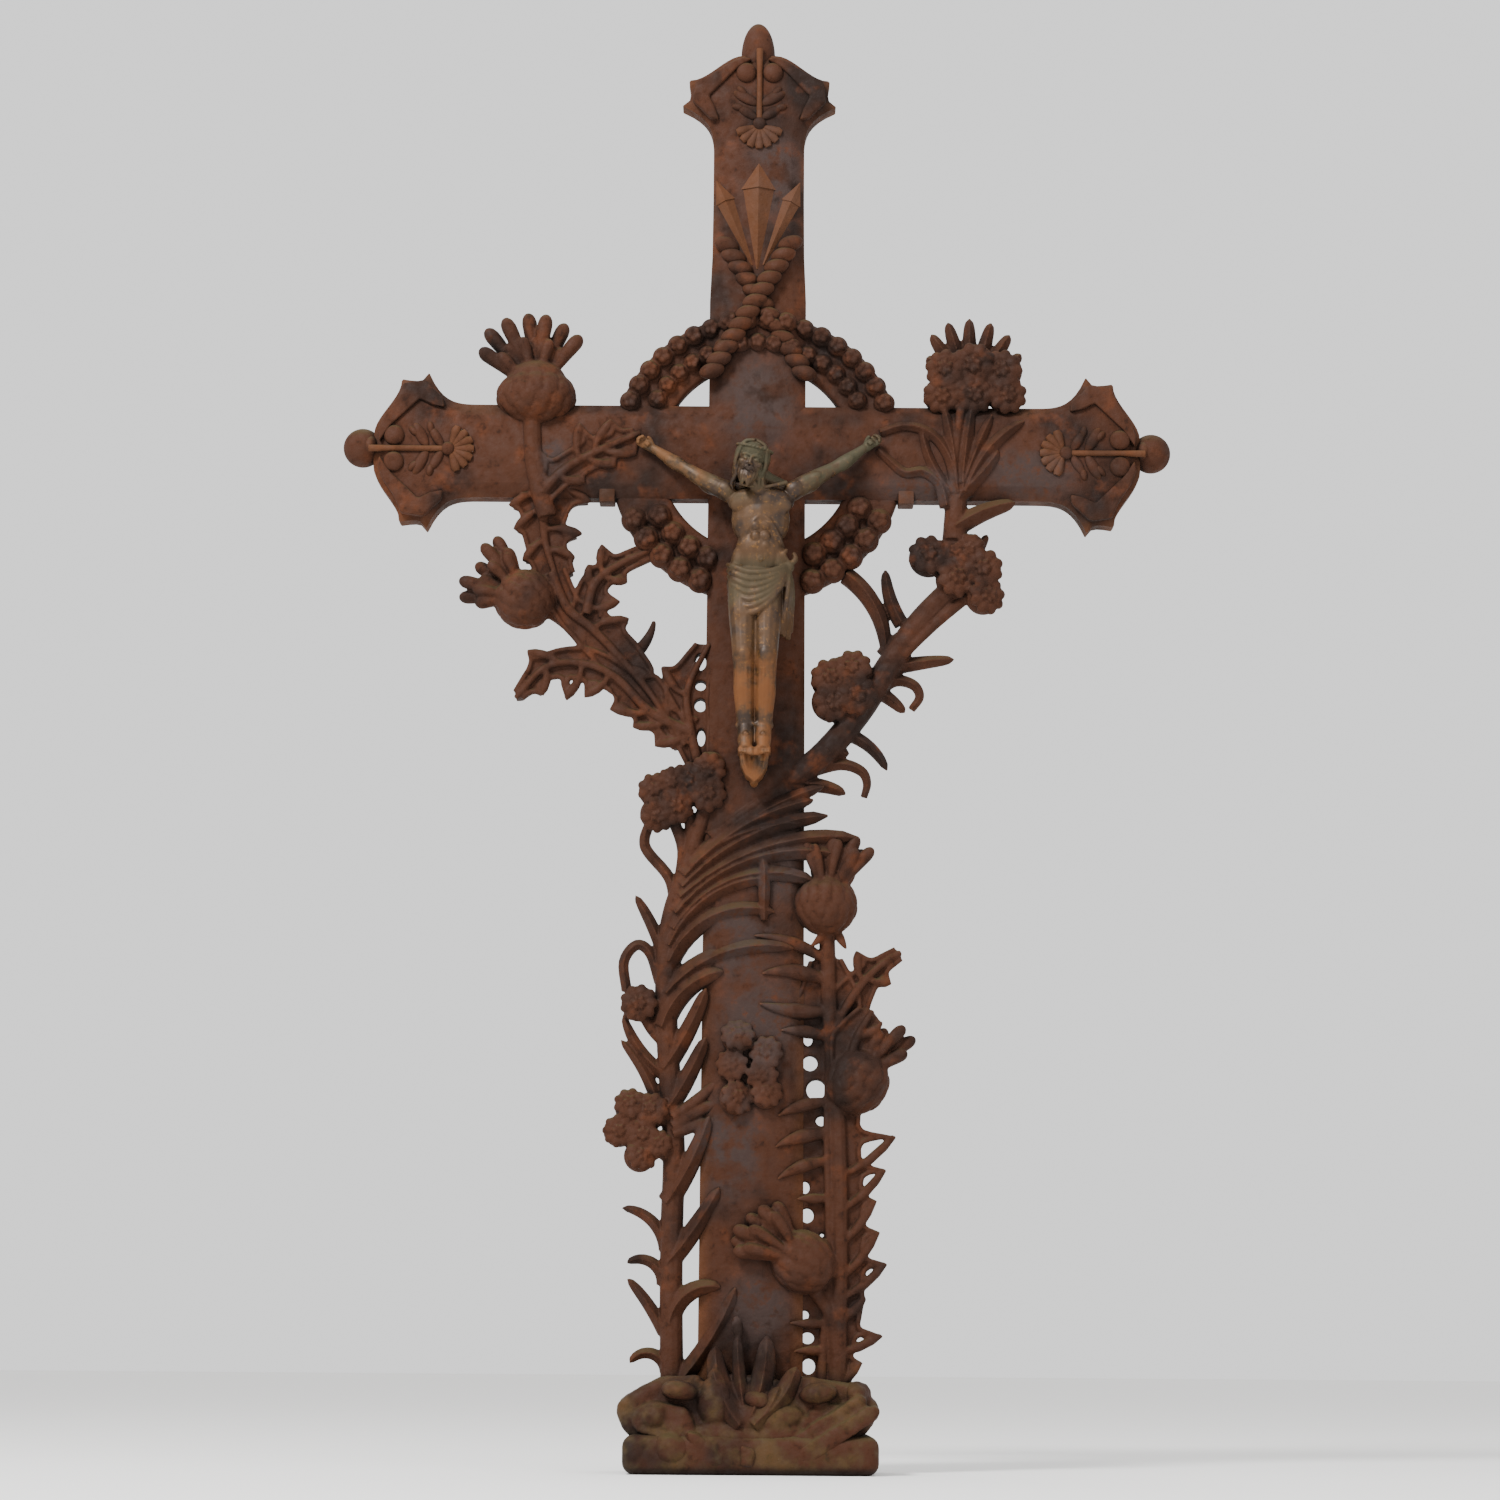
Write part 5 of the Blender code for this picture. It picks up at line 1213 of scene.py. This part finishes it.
def trunk():
    parts = lumps((
        ("ribs", 4, 27, 892, 28, 15, 30, 0), ("chest", 4, 28.5, 909, 32, 12.5, 15, 0),
        ("belly", 3, 29, 860, 22.5, 12.5, 30, 0), ("hips", 1, 28, 826, 27, 16, 22, 0),
        ("pectoral", -9.5, 34.4, 906, 15.5, 5.0, 9.5, 8), ("pectoral", 18.5, 34.4, 906, 15.5, 5.0, 9.5, -8),
        ("flank", -15, 28, 852, 9, 9.5, 16, -8), ("flank", 21, 28, 852, 9, 9.5, 16, 8),
        ("shoulder", -29, 26.5, 920.5, 11.5, 9.8, 9.4, -32), ("back", 4, 14, 905, 24, 13, 22, 0),
        ("shoulder", 36, 26.5, 921.5, 11.5, 9.8, 9.4, 34),
    ))
    lines = []
    for side in (-1, 1):
        for i, z in enumerate((883.5, 873.5, 864, 855)):
            parts.append(ball("belly_muscle", at(4 + side * 4.6, 40.0 - 0.6 * i, z), (4.7, 3.0, 4.9)))
        lines.append(sided(5, side, (2, 40.5, 893, 1.6), (9, 40, 886, 2.2), (17, 34, 873, 2.2),
            (21, 27, 864, 1.4)))
        for i in range(4):
            z = 895 - 6.2 * i
            lines.append(sided(5, side, (24, 22, z + 7, 1.6), (21, 30, z + 2, 1.9),
                (13.5, 36.6, z - 2.5, 1.5)))
        lines.append(sided(3, side, (3, 38.5, 921, 2.0), (13, 38, 923, 1.9), (26, 33, 927, 2.2)))
        lines += [
            limb((3 + side * 24, 25, 925, 5.5), (2 + side * 10, 27, 931, 6.5), (-1 + side * 3, 32, 938, 6.5)),
            limb((3 + side * 3, 40, 921, 1.9), (-1 + side * 6, 44, 931, 1.9),
                (-3 + side * 8.5, 43, 939, 1.6)),
        ]
    lines.append(limb((3, 31, 914, 9.0), (0, 35, 930, 8.6), (-3, 40, 944, 8.4)))
    for i in range(8):
        angle = 2 * math.pi * i / 8
        centre = at(4.3 + 1.7 * math.cos(angle), 41.0, 852 + 2.0 * math.sin(angle))
        parts.append(ball("navel", centre, (1.1, 0.9, 1.1), 0, 8, 6))
    parts.append(bars("ribs_and_bones", lines, 10))
    return parts


def arms():
    left = limb(
        (-24, 25, 917, 9.5), (-38, 24, 925, 9.2), (-54, 20, 934, 8.0), (-69, 15.5, 944.5, 6.3),
        (-78, 13.5, 950, 7.1), (-90, 11, 958.5, 5.2), (-99, 9, 965, 4.0),
    )
    right = limb(
        (31, 25, 918, 9.5), (45, 24, 927, 9.2), (59, 20, 936, 8.0), (74, 15.5, 945.5, 6.3),
        (83, 13.5, 951, 7.1), (95, 11, 960.5, 5.2), (103, 9, 967, 4.0),
    )
    parts = [bars("arms", [left, right], 14)]
    for x, z, turn in ((-46, 929, -31), (52, 931, 34)):
        parts.append(ball("biceps", at(x, 26.0, z + 0.5), (12, 5.2, 5.6), turn))
        parts.append(ball("triceps", at(x, 20.0, z - 4.5), (12, 6.0, 5.6), turn))
    for x, z, turn in ((-80, 951.5, -33), (85, 953, 36)):
        parts.append(ball("forearm", at(x, 15.5, z - 1.0), (10.5, 5.2, 5.6), turn))
    return parts + hand((-99, 964.5), 148, -1) + hand((103, 966.5), 36, 1)


def legs():
    parts, lines = [], []
    for side in (-1, 1):
        parts += lumps([(name, LEG_AXIS + side * x, *rest, side * turn) for name, x, *rest, turn in (
            ("kneecap", 10.2, 48.4, 759, 7.0, 4.6, 8.4, 0), ("kneecap_low", 10, 44.5, 748, 4.6, 3.6, 5.2, 0),
            ("thigh_muscle", 14.5, 38, 785, 8, 9, 20, 3), ("calf", 12.5, 30, 730, 5.8, 7.5, 15, 4),
            ("calf_inner", 5.2, 31, 727, 4.6, 7, 12, 0), ("heel", 8.4, 17, 689, 7.2, 6.8, 7.4, 0),
            ("ankle", 15.4, 26, 694, 2.8, 3, 3.4, 0), ("ankle", 2.2, 29, 695, 2.6, 3, 3.2, 0),
        )])
        leg = (
            (12, 27, 826, 14.5), (11.6, 32, 800, 13.8), (11, 38, 776, 12.0), (10.6, 41, 758, 10.8),
            (10.2, 37, 744, 10.0), (10, 32.5, 728, 10.2), (9.2, 27, 708, 8.8), (8.6, 25, 694, 8.0),
        )
        shin = ((8.4, 47, 746, 1.8), (7.8, 41, 728, 1.6), (6.6, 32, 702, 1.4))
        foot = ((8.4, 23, 698, 8.2), (8.3, 28, 688, 7.8), (8.2, 34, 677, 7.4), (8.2, 38.5, 669, 5.6))
        lines += [sided(LEG_AXIS, side, *points) for points in (leg, shin, foot)]
        for i in range(5):
            out = 2.6 + 2.75 * i
            radius = 2.6 if i == 0 else 1.95 - 0.08 * i
            toe = ((out + 0.4, 38.5, 671, radius), (out, 41.5, 667, radius),
                (out, 41.8, 663.2 + 0.9 * i, radius))
            lines.append(sided(LEG_AXIS, side, *toe))
        parts.append(square_nail(LEG_AXIS + side * 8.2, 684, 1.8, 30, 38, 40.2))
    parts.append(bars("legs", lines, 14))
    return parts


def loincloth():
    parts = lumps((("cloth", 0, 25.5, 829, 28, 19, 22, 0), ("cloth_low", -1, 28, 813, 23, 15.5, 13, 0)))
    lines = []
    for i in range(7):
        share = i / 6
        sag = 5 + 12 * share
        lines.append(limb(
            (-27 + 2 * share, 22, 849 - 34 * share, 2.2), (-21, 35.5, 846 - 33 * share - 0.3 * sag, 3.0),
            (-7, 43.2, 843 - 28 * share - sag, 3.3), (9, 44.0, 843 - 20 * share - sag, 3.2),
            (22, 40.0, 845 - 12 * share - 0.6 * sag, 3.0), (31, 32, 847 - 7 * share, 2.4),
        ))
    for i in range(5):
        share = i / 4
        lines.append(limb(
            (31, 31 - 5 * share, 845, 2.4), (30 + 4 * share, 34 - 12 * share, 825, 3.2),
            (27 + 6 * share, 31 - 11 * share, 800, 3.3),
            (24 + 9 * share, 28 - 9 * share, 781 - 4 * math.sin(2.6 * i), 2.6),
        ))
    lines.append(limb((31, 33, 846, 2.6), (37, 30, 853, 2.8), (35.5, 26, 860, 2.0)))
    lines.append(limb((31, 33, 848, 2.4), (26, 35, 856, 2.6), (29, 33, 862, 1.8)))
    parts.append(bars("folds", lines, 10))
    parts.append(ball("knot", at(31, 31, 846), (5.2, 5.6, 6.0), 20))
    return parts


def bracket():
    console = [(-14.5, 668), (13.5, 668), (12, 656), (7, 646), (0, 640), (-8, 646), (-13, 656)]
    shelf = [(-16, 668), (15, 668), (15, 673), (-16, 673)]
    back = FACE - FIGURE_GAP
    plates = ((console, 27), (shelf, 31))
    parts = [sheet("bracket", [plate], back - deep, back - 0.2) for plate, deep in plates]
    lines = []
    for i in range(5):
        x = -10 + 4.8 * i
        lines.append(limb((x, 27, 667, 2.0), (x * 0.85, 27.5, 656, 2.2), (x * 0.25, 26, 643, 1.5)))
    parts.append(bars("flutes", lines, 8))
    parts.append(ball("drop", at(-0.5, 14, 641), (4, 12, 4)))
    return parts


def head():
    """Head, face, beard and hair about the middle of the skull, in its own upright frame, facing forward."""
    parts = [
        ball("skull", (0, 2, 5), (14.2, 16.5, 16)), ball("face", (0, -3, -4), (11.6, 12.3, 16.5)),
        ball("jaw", (0, -4.5, -11.5), (9.2, 9.2, 8.2)), ball("chin", (0, -11, -15), (5.2, 4.6, 5.0)),
        ball("forehead", (0, -6.5, 9), (11, 8.6, 8)),
    ]
    lines = [
        [
            (-9, -11.6, 3.6, 1.5), (-4.5, -14.3, 4.4, 1.7), (0, -14.9, 3.4, 1.5), (4.5, -14.3, 4.4, 1.7),
            (9, -11.6, 3.6, 1.5),
        ],
        [(0, -14.4, 4.2, 1.3), (0, -16.0, 0.5, 1.4), (0, -17.8, -3.4, 1.9), (0, -17.2, -4.9, 1.5)],
        [
            (-3.3, -14.6, -8.5, 0.6), (-1.4, -15.8, -7.9, 1.0), (0, -15.9, -8.2, 0.9),
            (1.4, -15.8, -7.9, 1.0), (3.3, -14.6, -8.5, 0.6),
        ],
        [(-2.8, -14.6, -9.6, 0.7), (0, -15.7, -10.1, 1.25), (2.8, -14.6, -9.6, 0.7)],
    ]
    for side in (-1, 1):
        parts.append(ball("nostril", (side * 1.8, -16.1, -4.6), (1.3, 1.6, 1.2), 0, 12, 8))
        parts.append(ball("lid", (side * 5.0, -12.3, 0.7), (3.0, 2.3, 2.2), 0, 16, 10))
        parts.append(ball("cheek", (side * 7.2, -9.4, -3.6), (4.4, 4.2, 3.6)))
        lines.append([(side * 2.4, -13.9, 0.1, 0.5), (side * 5.0, -14.9, -0.7, 0.6),
            (side * 7.7, -13.0, 0.0, 0.5)])
        lines.append([(side * 0.4, -16.2, -6.6, 1.2), (side * 3.4, -15.3, -7.4, 1.4),
            (side * 6.4, -12.6, -10.6, 0.8)])
    for i in range(11):
        turn = math.radians(-100 + 20 * i)
        across, ahead = math.sin(turn), math.cos(turn)
        split = 2.2 if across >= 0 else -2.2
        lines.append([
            (10.2 * across, -3.5 - 9.0 * ahead, -8.0 - 3.5 * abs(ahead), 1.3),
            (8.6 * across, -4.5 - 9.8 * ahead, -14.5 - 1.5 * ahead, 2.1),
            (3.6 * across + 0.6 * split, -7.5 - 7.0 * ahead, -21.5, 1.7),
            (1.4 * across + split, -9.5 - 4.0 * ahead, -25.5, 0.6),
        ])
    for side in (-1, 1):
        for i in range(9):
            back = 2.9 * i
            wave = 1.3 if i % 2 else -1.3
            lines.append(through((
                (side * 0.8, -9.5 + 1.05 * back, 18.8 + 0.22 * back - 0.012 * back * back, 1.5),
                (side * 9.5, -9.2 + back, 15.2, 2.2), (side * (13.6 + 0.6 * wave), -7.0 + back, 6.0, 2.4),
                (side * 14.0, -5.0 + 0.95 * back, -4.0 + wave, 2.4),
                (side * (12.2 + 0.8 * wave), -2.0 + 0.85 * back, -15.0, 2.3),
                (side * (12.4 - 0.8 * wave), 2.0 + 0.7 * back, -24.0 + wave, 1.9),
                (side * 10.5, 4.0 + 0.6 * back, -31.0, 0.8),
            ), 4))
    parts.append(bars("features", lines, 10))
    parts.append(ball("hair", (0, 5.5, 6.0), (15.4, 15.4, 15.6)))
    parts.append(ball("nape", (0, 10, -8), (12.5, 9.5, 15)))
    for i in range(30):
        turn = 2 * math.pi * i / 30
        middle = (16.4 * math.sin(turn), 2.5 - 17.2 * math.cos(turn), 11.2 + 1.2 * math.cos(turn))
        parts.append(ball("cord", middle, (2.5, 2.1, 1.5), 26 * math.cos(turn), 10, 8))
    return melted("head", parts, HEAD_VOXEL, 1)


HEAD_TILT = -14.0
HEAD_BACK = 10.0
bronze = patinated_bronze()
body = melted("body", trunk() + arms() + legs() + loincloth() + bracket(), BODY_VOXEL, 1)
for vertex in body.data.vertices:
    vertex.co.y = min(vertex.co.y, (FACE - FIGURE_GAP) * MM)
face = head()
lean = Matrix.Rotation(math.radians(-HEAD_TILT), 4, "Y") @ Matrix.Rotation(math.radians(HEAD_BACK), 4, "X")
face.data.transform(Matrix.Translation([v * MM for v in at(-5, 44, 946)]) @ lean)
dressed("figure", [body, face], bronze, "corpus")


# Floor, light and camera: a pale floor without an end, soft studio light from the front and above, and the
# photographer's low place far in front.

FLOOR_SHADE = "F4F3F1"
SKY_STRENGTH = 1.25
KEY_PLACE = (-1.7, -2.6, 3.4)
FILL_PLACE = (2.4, -3.2, 1.4)
CAMERA_PLACE = (-0.0045, -3.6, 0.10)
CAMERA_LENS = 91.8
CAMERA_UP = 9.12
CAMERA_ROLL = 0.43


def matt(name, shade):
    material = bpy.data.materials.new(name)
    material.use_nodes = True
    shader = material.node_tree.nodes["Principled BSDF"]
    shader.inputs["Base Color"].default_value = linear(shade)
    shader.inputs["Roughness"].default_value = 0.95
    return material


def soft_light(name, place, target, size, power):
    data = bpy.data.lights.new(name, "AREA")
    data.shape = "DISK"
    data.size = size
    data.energy = power
    lamp = bpy.data.objects.new(name, data)
    bpy.context.scene.collection.objects.link(lamp)
    lamp.location = place
    lamp.rotation_euler = (Vector(target) - Vector(place)).to_track_quat("-Z", "Y").to_euler()


deselect()
bpy.ops.mesh.primitive_plane_add(size=60, location=(0, 0, 0))
floor = bpy.context.view_layer.objects.active
floor.name = "pale_floor"
floor.data.materials.append(matt("matt pale floor", FLOOR_SHADE))

world = bpy.data.worlds.new("pale studio")
bpy.context.scene.world = world
world.use_nodes = True
world.node_tree.nodes["Background"].inputs["Color"].default_value = linear("FFFFFF")
world.node_tree.nodes["Background"].inputs["Strength"].default_value = SKY_STRENGTH
soft_light("key", KEY_PLACE, (0, 0, 0.8), 0.9, 245)
soft_light("fill", FILL_PLACE, (0, 0, 0.7), 2.4, 24)

view = bpy.data.cameras.new("camera")
view.sensor_width = 36.0
view.lens = CAMERA_LENS
view.clip_end = 200.0
camera = bpy.data.objects.new("camera", view)
bpy.context.scene.collection.objects.link(camera)
camera.location = CAMERA_PLACE
camera.rotation_euler = (
    Matrix.Rotation(math.radians(90 + CAMERA_UP), 3, "X") @ Matrix.Rotation(math.radians(CAMERA_ROLL), 3, "Z")
).to_euler()
bpy.context.scene.camera = camera
